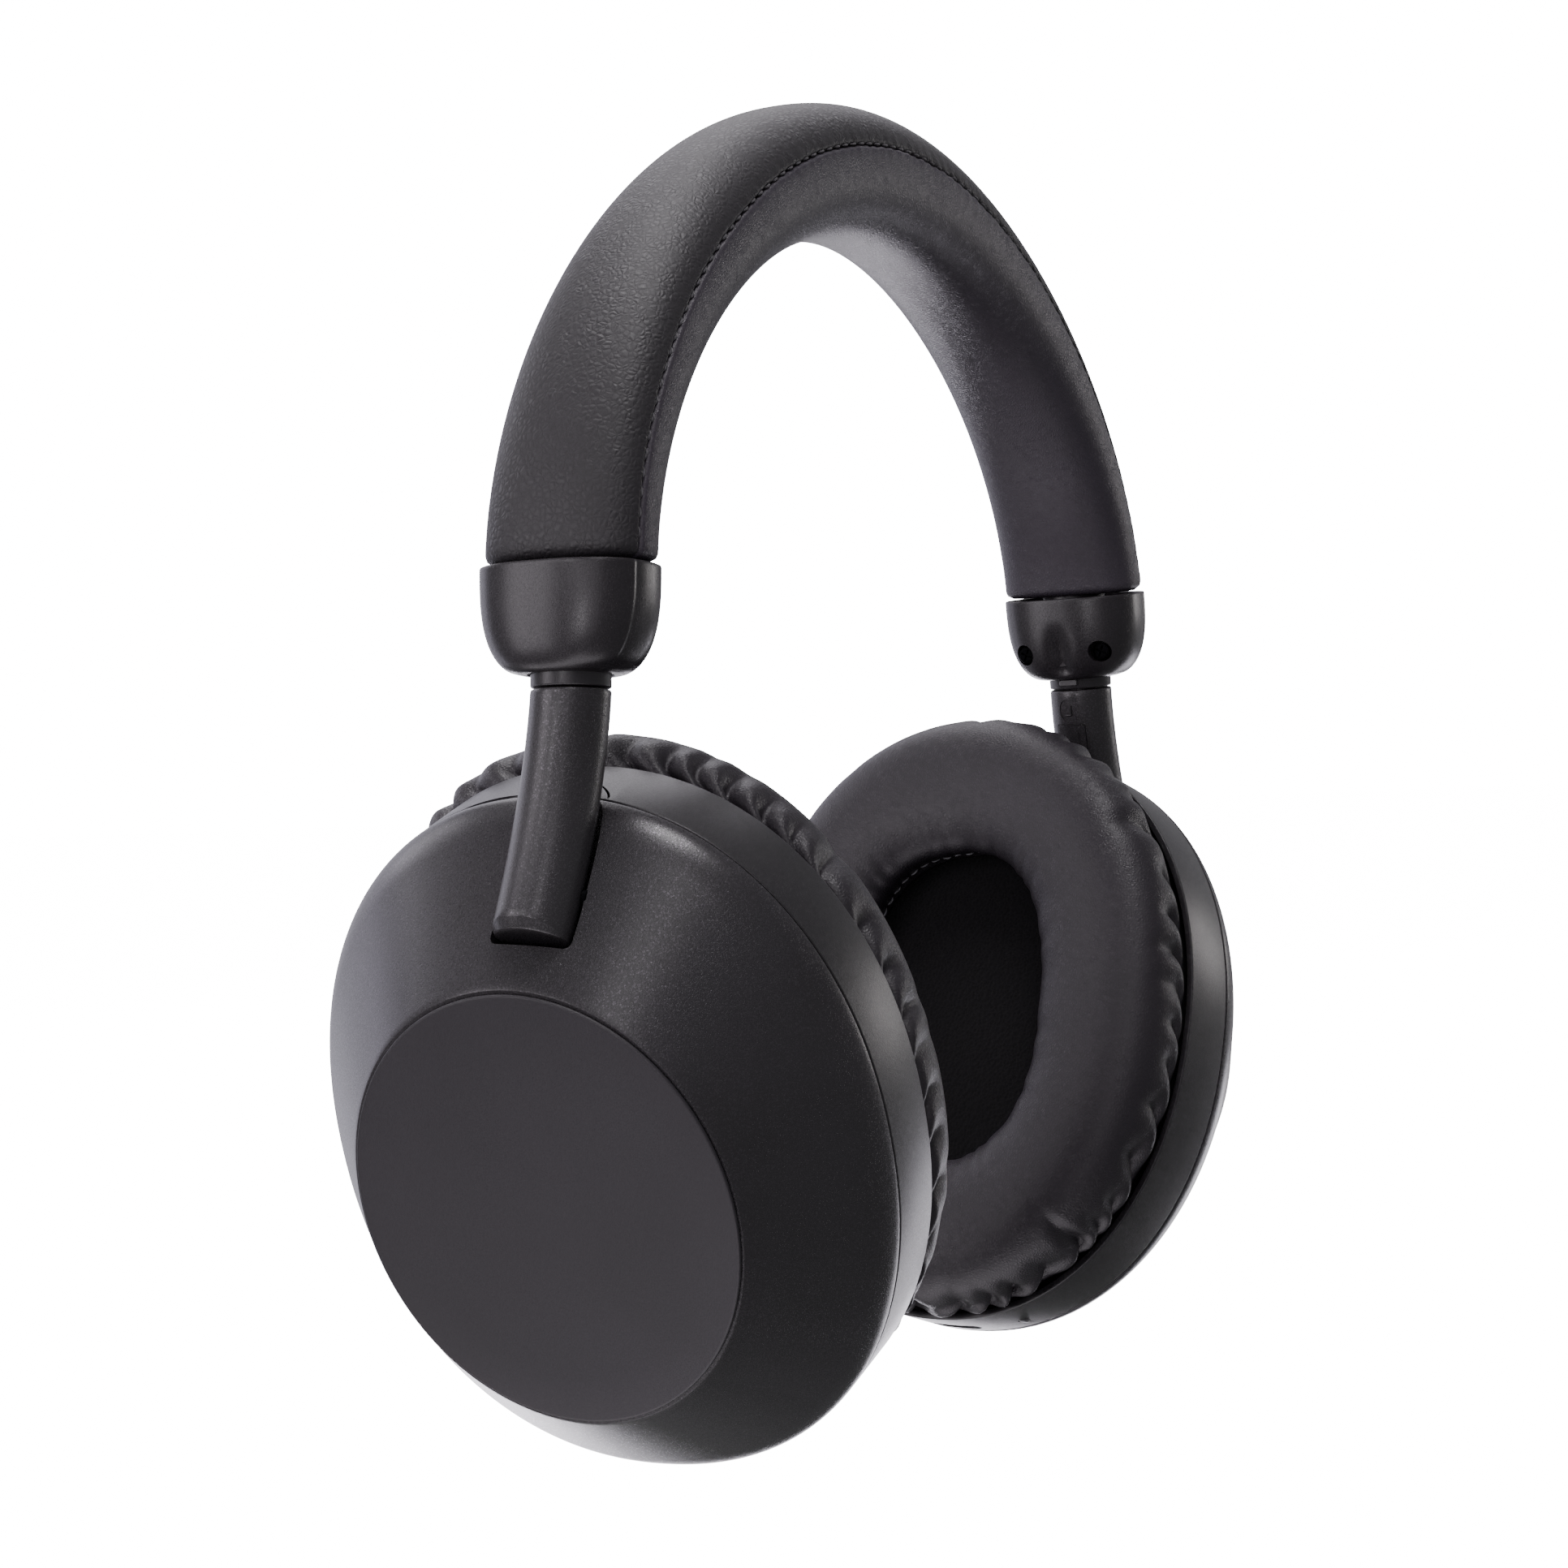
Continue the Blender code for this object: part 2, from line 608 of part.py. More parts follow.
def make_ear_pad(side, label):
    """A closed oval cushion; the outline runs from the outer foot over the crown to the inner foot."""
    mid = tuple((a + b) / 2 for a, b in zip(PAD_HALF, PAD_OPENING))
    outline = ((0.80, PAD_BASE), (0.97, -3.7), (1.0, -5.6), (0.84, -9.2), (0.50, -11.8),
               (0.05, PAD_CROWN), (-0.45, -12.5), (-0.85, -10.8), (-1.0, -8.4), (-0.92, -4.8),
               (-0.80, PAD_BASE))
    rings = []
    for across, u in outline:
        half = tuple(m + across * (h - m) for m, h in zip(mid, PAD_HALF))
        rings.append(cup_oval(half, u, 2.1, steps=32))
    pad = loft("ear_pad_" + label, rings, side, loop=True)
    place(pad, "ear_leather", TILT_FRAMES[side], cup_shift(side))


def rim_place(angle, depth):
    """A point on the rim ring's outside, an angle round from the rear towards the top, and its normal."""
    c, s = math.cos(angle), math.sin(angle)
    y = math.copysign(abs(c) ** (2 / CUP_POWER), c) * CUP_HALF[0]
    z = math.copysign(abs(s) ** (2 / CUP_POWER), s) * CUP_HALF[1]
    normal = Vector((0, math.copysign(abs(y / CUP_HALF[0]) ** (CUP_POWER - 1), y) / CUP_HALF[0],
                     math.copysign(abs(z / CUP_HALF[1]) ** (CUP_POWER - 1), z) / CUP_HALF[1]))
    normal.normalize()
    return (depth, y, z), tuple(normal)


BUTTONS = (("volume_up_button", -22.0, 2.6), ("volume_down_button", -36.0, 2.6),
           ("power_button", -54.0, 2.2))


def make_buttons(ring):
    """Three sprung buttons through the right rim, at the lower rear."""
    side = -1
    cutters = []
    for name, degrees, radius in BUTTONS:
        centre, normal = rim_place(math.radians(degrees), RING_DEPTH / 2)
        hole = cylinder("hole_" + name, radius + GAP, 8.0, centre, normal, side, 18, CUTTERS)
        place(hole, "steel", TILT_FRAMES[side], cup_shift(side))
        cutters.append(hole)
        middle = tuple(c - n * 1.0 for c, n in zip(centre, normal))
        button = cylinder(name, radius, 3.2, middle, normal, side, 18)
        place(button, "housing_plastic", TILT_FRAMES[side], cup_shift(side))
        bevel = button.modifiers.new("edge", "BEVEL")
        bevel.width = 0.25 * MM
        bevel.segments = 1
        bevel.limit_method = "ANGLE"
    cut(ring, cutters)


def make_charge_port(ring):
    """The charging socket in the bottom of the left rim, its slot and the lamp beside it."""
    side = 1
    bottom = -CUP_HALF[1]
    slot = box("port_slot", (3.2, 9.0, 6.0), (RING_DEPTH / 2 + 2.0, 0, bottom + 1.0), side, CUTTERS)
    lamp_hole = cylinder("lamp_hole", 1.0, 8.0, (RING_DEPTH / 2 + 2.0, -12.0, bottom + 2.0), (0, 0, 1),
                         side, 14, CUTTERS)
    for cutter in (slot, lamp_hole):
        place(cutter, "steel", TILT_FRAMES[side], cup_shift(side))
    cut(ring, [slot, lamp_hole])
    port = box("charge_port", (3.2 - 2 * GAP, 9.0 - 2 * GAP, 6.0), (RING_DEPTH / 2 + 2.0, 0, bottom + 3.6),
               side)
    place(port, "steel", TILT_FRAMES[side], cup_shift(side))
    mouth = box("port_mouth", (1.2, 6.6, 5.0), (RING_DEPTH / 2 + 2.0, 0, bottom + 2.0), side, CUTTERS)
    place(mouth, "steel", TILT_FRAMES[side], cup_shift(side))
    cut(port, [mouth])
    lamp = cylinder("status_lamp", 1.0 - GAP, 2.4, (RING_DEPTH / 2 + 2.0, -12.0, bottom + 2.9), (0, 0, 1),
                    side, 12)
    place(lamp, "ear_fabric", TILT_FRAMES[side], cup_shift(side))


def make_electronics():
    battery = box("battery", (5.0, 34.0, 26.0), (17.0, -2.0, -10.0), 1)
    place(battery, "battery_wrap", TILT_FRAMES[1], cup_shift(1))
    bevel = battery.modifiers.new("edge", "BEVEL")
    bevel.width = 1.2 * MM
    bevel.segments = 2
    board = box("circuit_board", (1.2, 44.0, 30.0), (15.0, -2.0, -10.0), -1)
    place(board, "board", TILT_FRAMES[-1], cup_shift(-1))


# ---------------------------------------------------------------- assembly

def side_rotation(side, angle, axis):
    return Matrix.Rotation(side * angle, 3, axis)


def cup_shift(side):
    """Where the cup frame's origin is in the tilt frame."""
    return (-side * PIVOT_CUP[0], -PIVOT_CUP[1], -PIVOT_CUP[2])


clear_scene()
PARTS = make_collection("over_ear_headphones")
CUTTERS = make_collection("cutters")
make_materials()
SIDES = ((1, "left"), (-1, "right"))

# Frames for the left side; the right side mirrors them in X.
STEM_BASE = np.array([BAND_HALF_SPAN, 0, JOINT_Z])
STEM_TURN = Matrix.Rotation(-BAND_SPLAY, 3, "Y")
CUP_TURN = Matrix.Rotation(CUP_YAW, 3, "Z") @ Matrix.Rotation(CUP_TILT, 3, "Y")
CUP_BASE = np.array([CUP_CENTRE[0], CUP_CENTRE[1], CUP_CENTRE[2] + JOINT_Z])
STEM_TO_WORLD = Matrix.Translation(Vector(STEM_BASE)) @ STEM_TURN.to_4x4()
CUP_TO_WORLD = Matrix.Translation(Vector(CUP_BASE)) @ CUP_TURN.to_4x4()
STEM_TO_CUP = CUP_TO_WORLD.inverted() @ STEM_TO_WORLD
PIVOT_T = 1 - PIVOT_ABOVE_TIP / ARM_DROP
PIVOT_STEM = tuple(arm_point(PIVOT_T, PIVOT_INWARD))
PIVOT_CUP = tuple(STEM_TO_CUP @ Vector(PIVOT_STEM))
PIN_AXIS_STEM = tuple(STEM_TO_CUP.inverted().to_3x3() @ Vector((0, 1, 0)))
ARM_SHIFT = (0.0, 0.0, -STEM_SEAM)

STEM_FRAMES, SLIDE_FRAMES, ARM_FRAMES, TILT_FRAMES = {}, {}, {}, {}
for SIDE, LABEL in SIDES:
    base = (SIDE * STEM_BASE[0], STEM_BASE[1], STEM_BASE[2])
    stem_turn = side_rotation(SIDE, -BAND_SPLAY, "Y")
    STEM_FRAMES[SIDE] = add_empty("housing_frame_" + LABEL, None, base, stem_turn)
    SLIDE_FRAMES[SIDE] = add_empty("slide_axis_" + LABEL, None, base, stem_turn)
    rest_swivel = Matrix.Rotation(LEFT_SWIVEL if SIDE > 0 else 0.0, 3, "Z")
    ARM_FRAMES[SIDE] = add_empty("swivel_axis_" + LABEL, SLIDE_FRAMES[SIDE], ARM_SHIFT, rest_swivel)
    pivot = np.array(PIVOT_STEM) - np.array(ARM_SHIFT)
    cup_turn = side_rotation(SIDE, CUP_YAW, "Z") @ side_rotation(SIDE, CUP_TILT, "Y")
    TILT_FRAMES[SIDE] = add_empty("tilt_axis_" + LABEL, ARM_FRAMES[SIDE],
                                  (SIDE * pivot[0], pivot[1], pivot[2]),
                                  stem_turn.inverted() @ cup_turn)

make_headband()
for SIDE, LABEL in SIDES:
    make_housing(SIDE, LABEL)
    make_slider_guide(SIDE, LABEL)
    make_stem(SIDE, LABEL)
    make_arm(SIDE, LABEL)
    make_shell(SIDE, LABEL)
    make_arm_channel(SIDE, LABEL)
    make_face_plate(SIDE, LABEL)
    rim = make_rim_ring(SIDE, LABEL)
    make_pad_mount(SIDE, LABEL)
    make_baffle(SIDE, LABEL)
    make_driver(SIDE, LABEL)
    make_ear_mesh(SIDE, LABEL)
    make_ear_pad(SIDE, LABEL)
    if SIDE == 1:
        make_charge_port(rim)
    else:
        make_buttons(rim)
make_electronics()
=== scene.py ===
"""Finished looks for the over-ear headphones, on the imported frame.

Lengths are in millimetres until a mesh is made. +Z is up, -Y is the wearer's front and +X the wearer's
left. Each side is built once, for the left, and the right side mirrors it in X.
"""
import math

import bmesh
import bpy
import numpy as np
from mathutils import Matrix, Vector, noise


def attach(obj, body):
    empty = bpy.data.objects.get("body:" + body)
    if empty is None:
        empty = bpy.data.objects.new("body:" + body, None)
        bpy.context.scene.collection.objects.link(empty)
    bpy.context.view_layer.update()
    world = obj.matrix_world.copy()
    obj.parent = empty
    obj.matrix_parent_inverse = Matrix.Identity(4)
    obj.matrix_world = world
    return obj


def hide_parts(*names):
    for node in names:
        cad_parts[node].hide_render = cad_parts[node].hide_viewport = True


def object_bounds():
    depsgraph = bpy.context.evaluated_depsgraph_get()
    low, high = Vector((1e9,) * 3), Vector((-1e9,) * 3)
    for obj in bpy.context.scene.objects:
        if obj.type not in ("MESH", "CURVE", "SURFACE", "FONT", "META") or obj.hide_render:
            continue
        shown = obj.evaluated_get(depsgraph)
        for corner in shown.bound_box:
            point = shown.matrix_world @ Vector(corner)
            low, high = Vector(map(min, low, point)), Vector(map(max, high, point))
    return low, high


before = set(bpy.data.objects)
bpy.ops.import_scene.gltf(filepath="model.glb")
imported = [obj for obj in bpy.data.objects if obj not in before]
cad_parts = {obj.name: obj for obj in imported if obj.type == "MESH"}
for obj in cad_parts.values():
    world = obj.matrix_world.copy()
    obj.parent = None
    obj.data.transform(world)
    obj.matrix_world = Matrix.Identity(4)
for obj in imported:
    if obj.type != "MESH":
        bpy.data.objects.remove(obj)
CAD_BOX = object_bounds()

MM = 0.001
GAP = 0.3
SIDES = ((1, "left"), (-1, "right"))

# ---- Sizes shared with the part's source; u runs out from the cup's rim plane along its axis
BAND_HALF_SPAN = 76.8
BAND_SPLAY = math.radians(4.9)
BAND_CURVE_POWER = 0.765
BAND_CURVE_WAVE = 0.017
BAND_HALF_WIDTH = (11.3, 10.2)
BAND_HALF_THICK = (6.6, 9.5)
BAND_POWER = 2.4
SEAM_HEIGHT = 0.3
HOUSING_HALF = (8.4, 11.4)
HOUSING_DEPTH = 13.2
HOUSING_WALL = 1.5
HOUSING_POWER = 2.5
HOUSING_FOOT = 5.6
SCREW_Y = 6.5
SCREW_Z = -8.8
SCREW_HOLE_R = 1.7
STEM_R = 4.95
STEM_TOP = 9.5
STEM_SEAM = 14.9
SPIGOT_R = 2.6
SPIGOT_LENGTH = 6.0
ARM_DROP = 30.5
ARM_REACH = 7.0
ARM_BACK = 1.1
ARM_POWER = 1.6
PIVOT_ABOVE_TIP = 5.0
PIVOT_INWARD = 2.0
PIN_R = 1.0
CUP_CENTRE = (51.5, 7.7, -67.9)
CUP_TILT = math.radians(18.0)
CUP_YAW = math.radians(-2.9)
LEFT_SWIVEL = math.radians(-4.6)  # the left arm rests turned a little, with its pad towards the rear
CUP_HALF = (39.0, 46.0)
CUP_POWER = 2.15
RING_DEPTH = 11.0
CUP_WALL = 1.8
FACE_U = 33.7
FACE_HALF = (25.8, 28.4)
FACE_OFFSET = (-2.4, 0.5)
PAD_OPENING = (17.9, 25.3)

# ---- Detail of the finished surfaces
BAND_STATIONS = 361
COVER_COLUMNS = 97              # points across the headband's outer leather
UNDER_COLUMNS = 121             # and across its padded half
LEATHER_THICK = 1.3
BAND_END_ROLL = 1.4             # length over which the leather rolls in at each end
END_SINK = 1.2                  # how deep it rolls in there
SEAM_ROLL = 1.0                 # width of the leather's edge that rolls into the seam
SEAM_SINK = 0.95                # how deep it rolls in
STITCH_PITCH = 2.4
STITCH_LENGTH = 1.5
STITCH_ENDS = (2.0, 3.0)        # length without thread at the two ends of the band
DRIFT_LENGTH = 9.5              # length of the slow waves beside the seam
THREAD_R = 0.16
THREAD_SINK = 0.42              # how far the thread lies below the leather's side
THREAD_ARCH = 0.22              # how far the middle of a stitch rises
HOUSING_STEPS = 192
HOUSING_CURVE = (2.9, 2.1)      # powers that give the bowl its round bottom
PARTING_X = 3.2                 # plane where the housing's outer cap meets its inner half
PARTING_STEP = 0.22
HOLLOW_DEPTH = 0.9              # soft hollow down the middle of the housing's inner side
HOLLOW_WIDTH = 1.9
STEM_ROOM = 0.25                # clearance of the stem in the housing
SCREW_HOLE_X = (-10.8, -3.8)    # ends of the screw holes along X
SCREW_X = -5.2                  # middle of a screw's head
SCREW_CROSS = (0.95, 0.16)      # half length and half width of the recess
ARM_STEPS = 96
PIN_ROOM = 0.15                 # clearance of the pin in the arm
SLOT_GAP = 0.45                 # dark gap round the arm in the cup
TIP_CHAMFER = 0.9
CUP_STEPS = 240
PAD_HALF = (39.2, 47.0)         # the soft cushion, a little lower than the part's plain ring
PAD_COARSE = 192                # points round the cushion while it is filled
PAD_FINE = 576                  # and when it is gathered
PAD_PLEATS = 46
PLEAT_DEPTH = 2.5
LONG_CREASES = 7
WALL_START = 2.2                # length of leather hidden at the foot
FOOT_INSET = 1.7                # from the rim's outside to the cushion's foot
PAD_SEAT = {1: (0.0, 1.9), -1: (0.6, 1.2)}     # how far each soft cushion sits off its foot: rearward, up
PAD_TURN = math.radians(4.2)    # and how far it is turned on it, top to the rear
OPENING_SHIFT = (0.0, -0.2)
OPENING_SHRINK = (0.0, 0.2)
OPENING_STITCH = 2.1            # pitch of the stitches in the opening
OPENING_THREAD_R = 0.15
PAD_SIM_FRAMES = 18
PAD_PRESSURE = 4.0
PAD_MOVE_CAP = 1.2              # the farthest that filling may move the leather
CLOTH_HALF = (30.5, 37.5)
CLOTH_LEVELS = (-0.9, -1.7)     # back and front of the cloth at its edge
CLOTH_DOME = 1.5
PORT_HOLE = (8.6, 3.0)
LAMP_Y = -12.0
LAMP_HOLE_R = 0.9
FLAKE_SIZE = 0.00018            # in metres, as every length in a material is


# ---------------------------------------------------------------- mesh helpers

def band_path(stations):
    """The headband's centre line: points, outward normals and how near each is to the crown."""
    half = (stations - 1) // 2
    fine = 8
    s = np.linspace(0, 1, half * fine + 1)
    angle = (math.pi / 2 - BAND_SPLAY) * (1 - s ** BAND_CURVE_POWER - BAND_CURVE_WAVE * np.sin(2 * np.pi * s))
    x = np.concatenate([[0], np.cumsum((np.cos(angle[1:]) + np.cos(angle[:-1])) / 2)])
    z = np.concatenate([[0], np.cumsum((np.sin(angle[1:]) + np.sin(angle[:-1])) / 2)])
    scale = BAND_HALF_SPAN / x[-1]
    pick = slice(0, None, fine)
    px = (x * scale - BAND_HALF_SPAN)[pick]
    pz = (z * scale)[pick]
    turn = angle[pick]
    px = np.concatenate([px, -px[-2::-1]])
    pz = np.concatenate([pz, pz[-2::-1]])
    turn = np.concatenate([turn, -turn[-2::-1]])
    points = np.stack([px, 0 * px, pz], -1)
    normals = np.stack([-np.sin(turn), 0 * px, np.cos(turn)], -1)
    return points, normals, np.sin(np.linspace(0, np.pi, stations))


PATH, NORMALS, WEIGHT = band_path(BAND_STATIONS)
JOINT_Z = -(PATH[:, 2].max() - BAND_HALF_THICK[1] + GAP)

STEM_FRAME = Matrix.Translation((BAND_HALF_SPAN, 0, JOINT_Z)) @ Matrix.Rotation(-BAND_SPLAY, 4, "Y")
CUP_FRAME = (Matrix.Translation((CUP_CENTRE[0], CUP_CENTRE[1], CUP_CENTRE[2] + JOINT_Z))
             @ Matrix.Rotation(CUP_YAW, 4, "Z") @ Matrix.Rotation(CUP_TILT, 4, "Y"))
STEM_TO_CUP = CUP_FRAME.inverted() @ STEM_FRAME
LEFT_TURN = STEM_FRAME @ Matrix.Rotation(LEFT_SWIVEL, 4, "Z") @ STEM_FRAME.inverted()
ARM_FRAMES = {1: LEFT_TURN @ STEM_FRAME, -1: STEM_FRAME}
CUP_FRAMES = {1: LEFT_TURN @ CUP_FRAME, -1: CUP_FRAME}
WORLD = Matrix.Identity(4)


def transformed(points, matrix):
    points = np.asarray(points, float)
    m = np.array(matrix)
    return points @ m[:3, :3].T + m[:3, 3]


def build(name, points, faces, matrix=WORLD, side=1, sharp=38.0):
    """A mesh object in the row frame from points in millimetres in a local frame."""
    co = transformed(points, matrix) * MM
    co[:, 0] *= side
    mesh = bpy.data.meshes.new(name)
    mesh.from_pydata(co.tolist(), [], faces)
    work = bmesh.new()
    work.from_mesh(mesh)
    bmesh.ops.recalc_face_normals(work, faces=work.faces)
    work.to_mesh(mesh)
    work.free()
    obj = bpy.data.objects.new(name, mesh)
    bpy.context.scene.collection.objects.link(obj)
    finish_shading(obj, sharp)
    return obj


def finish_shading(obj, sharp):
    obj.data.shade_smooth()
    if sharp is not None:
        obj.data.set_sharp_from_angle(angle=math.radians(sharp))


def grid_faces(rows, columns, close_rows, caps):
    """Quads over a grid whose columns run round; rows may close on themselves or end in caps."""
    faces = []
    spans = rows if close_rows else rows - 1
    for i in range(spans):
        a, b = i * columns, ((i + 1) % rows) * columns
        for j in range(columns):
            k = (j + 1) % columns
            faces.append((a + j, a + k, b + k, b + j))
    if caps:
        faces.append(tuple(range(columns)))
        faces.append(tuple(range((rows - 1) * columns, rows * columns)))
    return faces


def skin(name, rings, matrix=WORLD, side=1, loop=False, sharp=38.0):
    """A closed body over rings with the same number of points."""
    rings = np.asarray(rings, float)
    faces = grid_faces(len(rings), rings.shape[1], loop, not loop)
    return build(name, rings.reshape(-1, 3), faces, matrix, side, sharp)


def rounded(profile, radius, steps):
    """A closed 2-D outline with each corner replaced by a short arc. radius is a number or one per corner."""
    pts = [np.array(p, float) for p in profile]
    radii = radius if isinstance(radius, (list, tuple)) else [radius] * len(pts)
    out = []
    for i, corner in enumerate(pts):
        before, after = pts[i - 1] - corner, pts[(i + 1) % len(pts)] - corner
        reach = min(radii[i], 0.45 * np.linalg.norm(before), 0.45 * np.linalg.norm(after))
        if reach < 1e-3:
            out.append(corner)
            continue
        start = corner + unit(before) * reach
        end = corner + unit(after) * reach
        for t in np.linspace(0, 1, steps + 1):
            out.append((1 - t) ** 2 * start + 2 * t * (1 - t) * corner + t ** 2 * end)
    return out


def boolean(obj, other, operation="DIFFERENCE"):
    """Apply a Boolean and drop the second body."""
    modifier = obj.modifiers.new("boolean", "BOOLEAN")
    modifier.operation = operation
    modifier.solver = "EXACT"
    modifier.object = other
    bake(obj)
    bpy.data.objects.remove(other)


def bake(obj):
    """Apply every modifier to the mesh."""
    bpy.context.view_layer.update()
    evaluated = obj.evaluated_get(bpy.context.evaluated_depsgraph_get())
    mesh = bpy.data.meshes.new_from_object(evaluated)
    obj.modifiers.clear()
    obj.data = mesh
    mesh.name = obj.name


def angles(steps):
    """Evenly spaced angles once round."""
    return np.linspace(0, 2 * np.pi, steps, endpoint=False)


def signed_power(value, power):
    return np.sign(value) * np.abs(value) ** power


def superellipse(half_a, half_b, power, steps):
    t = angles(steps)
    a = signed_power(np.cos(t), 2 / power) * half_a
    b = signed_power(np.sin(t), 2 / power) * half_b
    return np.stack([a, b], -1)


def oval(half, u, power=CUP_POWER, offset=(0, 0), steps=CUP_STEPS):
    """A ring in the cup frame at distance u outside the rim plane."""
    yz = superellipse(half[0], half[1], power, steps) + np.array(offset)
    return np.column_stack([np.full(len(yz), u), yz])


def smoothstep(low, high, value):
    t = np.clip((value - low) / (high - low), 0, 1)
    return t * t * (3 - 2 * t)


def unit(vector):
    return vector / np.linalg.norm(vector)


def square_to(axis, other):
    """Two directions square to an axis, the first one square to the other direction as well."""
    one = unit(np.cross(axis, other))
    return one, np.cross(axis, one)


def circle(centre, one, two, radius, steps):
    """Points round a centre, from the direction one towards the direction two."""
    a = angles(steps)[:, None]
    return centre + radius * (np.cos(a) * one + np.sin(a) * two)


def tube(points, radius, steps, taper=True):
    """Points and faces of a thin closed tube along a few points, such as one stitch."""
    points = np.asarray(points, float)
    rings = []
    for i, p in enumerate(points):
        d = unit(points[min(i + 1, len(points) - 1)] - points[max(i - 1, 0)])
        r = radius * (0.45 if taper and i in (0, len(points) - 1) else 1.0)
        rings.append(circle(p, *square_to(d, (0.31, 0.87, 0.39)), r, steps))
    return np.concatenate(rings), grid_faces(len(points), steps, False, True)


def distances(line):
    """How far each point of a line is from its start, along the line."""
    return np.concatenate([[0], np.cumsum(np.linalg.norm(np.diff(line, axis=0), axis=1))])


def sample(line, along, places):
    """The points of a line at some distances along it."""
    return np.stack([np.interp(places, along, line[:, k]) for k in range(3)], -1)


def gather(parts):
    """One list of points and faces from several."""
    points, faces, start = [], [], 0
    for p, f in parts:
        points.append(p)
        faces += [tuple(i + start for i in face) for face in f]
        start += len(p)
    return np.concatenate(points), faces


# ---------------------------------------------------------------- materials

class Nodes:
    """A short way to write a node tree."""

    def __init__(self, name, roughness, **sockets):
        self.material = bpy.data.materials.new(name)
        self.material.use_nodes = True
        self.tree = self.material.node_tree
        self.shader = self.tree.nodes["Principled BSDF"]
        self.shader.inputs["Roughness"].default_value = roughness
        for key, value in sockets.items():
            self.shader.inputs[key.replace("_", " ")].default_value = value
        self.place = self.add("ShaderNodeTexCoord").outputs["Object"]

    def add(self, kind, inputs=None, **settings):
        node = self.tree.nodes.new(kind)
        for key, value in settings.items():
            setattr(node, key, value)
        for key, value in (inputs or {}).items():
            self.feed(node.inputs[key], value)
        return node

    def feed(self, socket, value):
        if isinstance(value, bpy.types.NodeSocket):
            self.tree.links.new(value, socket)
        else:
            socket.default_value = value

    def set(self, key, value):
        self.feed(self.shader.inputs[key], value)

    def stretched(self, scale):
        return self.add("ShaderNodeMapping", {"Vector": self.place, "Scale": scale}).outputs[0]

    def noise(self, scale, detail=2.0, vector=None, output=0):
        """Noise with about scale features per metre."""
        inputs = {"Vector": vector or self.place, "Scale": scale, "Detail": detail}
        return self.add("ShaderNodeTexNoise", inputs).outputs[output]

    def cells(self, scale, feature="F1", vector=None, output="Distance"):
        return self.add("ShaderNodeTexVoronoi", {"Vector": vector or self.place, "Scale": scale},
                        feature=feature).outputs[output]

    def remap(self, value, low, high, to_low, to_high):
        return self.add("ShaderNodeMapRange", {"Value": value, "From Min": low, "From Max": high,
                                               "To Min": to_low, "To Max": to_high}).outputs[0]

    def math(self, operation, a, b=0.0):
        node = self.add("ShaderNodeMath", operation=operation)
        self.feed(node.inputs[0], a)
        self.feed(node.inputs[1], b)
        return node.outputs[0]

    def mix(self, factor, a, b):
        node = self.add("ShaderNodeMix", data_type="RGBA")
        self.feed(node.inputs[0], factor)
        self.feed(node.inputs[6], (*a, 1.0) if isinstance(a, tuple) else a)
        self.feed(node.inputs[7], (*b, 1.0) if isinstance(b, tuple) else b)
        return node.outputs[2]

    def bump(self, height, strength, distance, normal=None):
        node = self.add("ShaderNodeBump", {"Height": height, "Strength": strength, "Distance": distance})
        if normal is not None:
            self.feed(node.inputs["Normal"], normal)
        return node.outputs[0]


def leather(name, dark, light, cell, depth, roughness):
    """Grained leather: irregular raised cells with creases between them, painted shade in the creases, and
    faint larger mottling.
    """
    n = Nodes(name, roughness, Specular_IOR_Level=0.45)
    warp = n.noise(0.35 / cell)
    drift = n.noise(0.4 / cell, output="Color")
    offset = n.add("ShaderNodeVectorMath", {0: drift, "Scale": cell * 1.2}, operation="SCALE").outputs[0]
    warped = n.add("ShaderNodeVectorMath", {0: n.place, 1: offset}, operation="ADD").outputs[0]
    crease = n.cells(1.0 / cell, "DISTANCE_TO_EDGE", warped)
    pebble = n.remap(crease, 0.0, 0.35, 0.0, 1.0)
    fine = n.noise(4.5 / cell, 3.0)
    height = n.math("ADD", n.math("MULTIPLY", pebble, n.remap(warp, 0.35, 0.65, 0.45, 1.0)),
                    n.math("MULTIPLY", fine, 0.35))
    n.set("Normal", n.bump(height, 1.0, depth))
    mottle = n.remap(n.noise(90.0, 3.0), 0.35, 0.65, 0.45, 0.85)
    # the creases between the cells are painted darker (painted shade); the mottling is the leather's own
    # uneven tone
    n.set("Base Color", n.mix(n.math("MULTIPLY", n.remap(crease, 0.0, 0.12, 0.25, 1.0), mottle), dark, light))
    n.set("Roughness", n.remap(height, 0.2, 1.2, roughness + 0.10, roughness - 0.06))
    return n.material


def moulded(name, dark, light, roughness, grain, depth, flake=0.0):
    """Satin moulded plastic with a fine texture and, if asked, small metallic flakes in the paint."""
    n = Nodes(name, roughness, Specular_IOR_Level=0.5)
    fine = n.noise(1.0 / grain, 3.0)
    wide = n.remap(n.noise(45.0, 3.0), 0.35, 0.65, 0.0, 1.0)
    normal = n.bump(fine, 1.0, depth)
    colour = n.mix(wide, dark, light)
    if flake:
        random = n.add("ShaderNodeSeparateColor", {0: n.cells(1.0 / FLAKE_SIZE, output="Color")})
        spark = n.remap(random.outputs[0], 0.72, 1.0, 0.0, 1.0)
        normal = n.bump(random.outputs[1], 0.5, depth * 2.0, normal)
        bright = tuple(min(1.0, c * 2.4 + 0.03) for c in light)
        spark = n.math("MULTIPLY", spark, flake)
        colour = n.mix(spark, colour, bright)
        n.set("Metallic", spark)
    n.set("Normal", normal)
    n.set("Base Color", colour)
    n.set("Roughness", n.remap(fine, 0.3, 0.7, roughness - 0.04, roughness + 0.05))
    return n.material


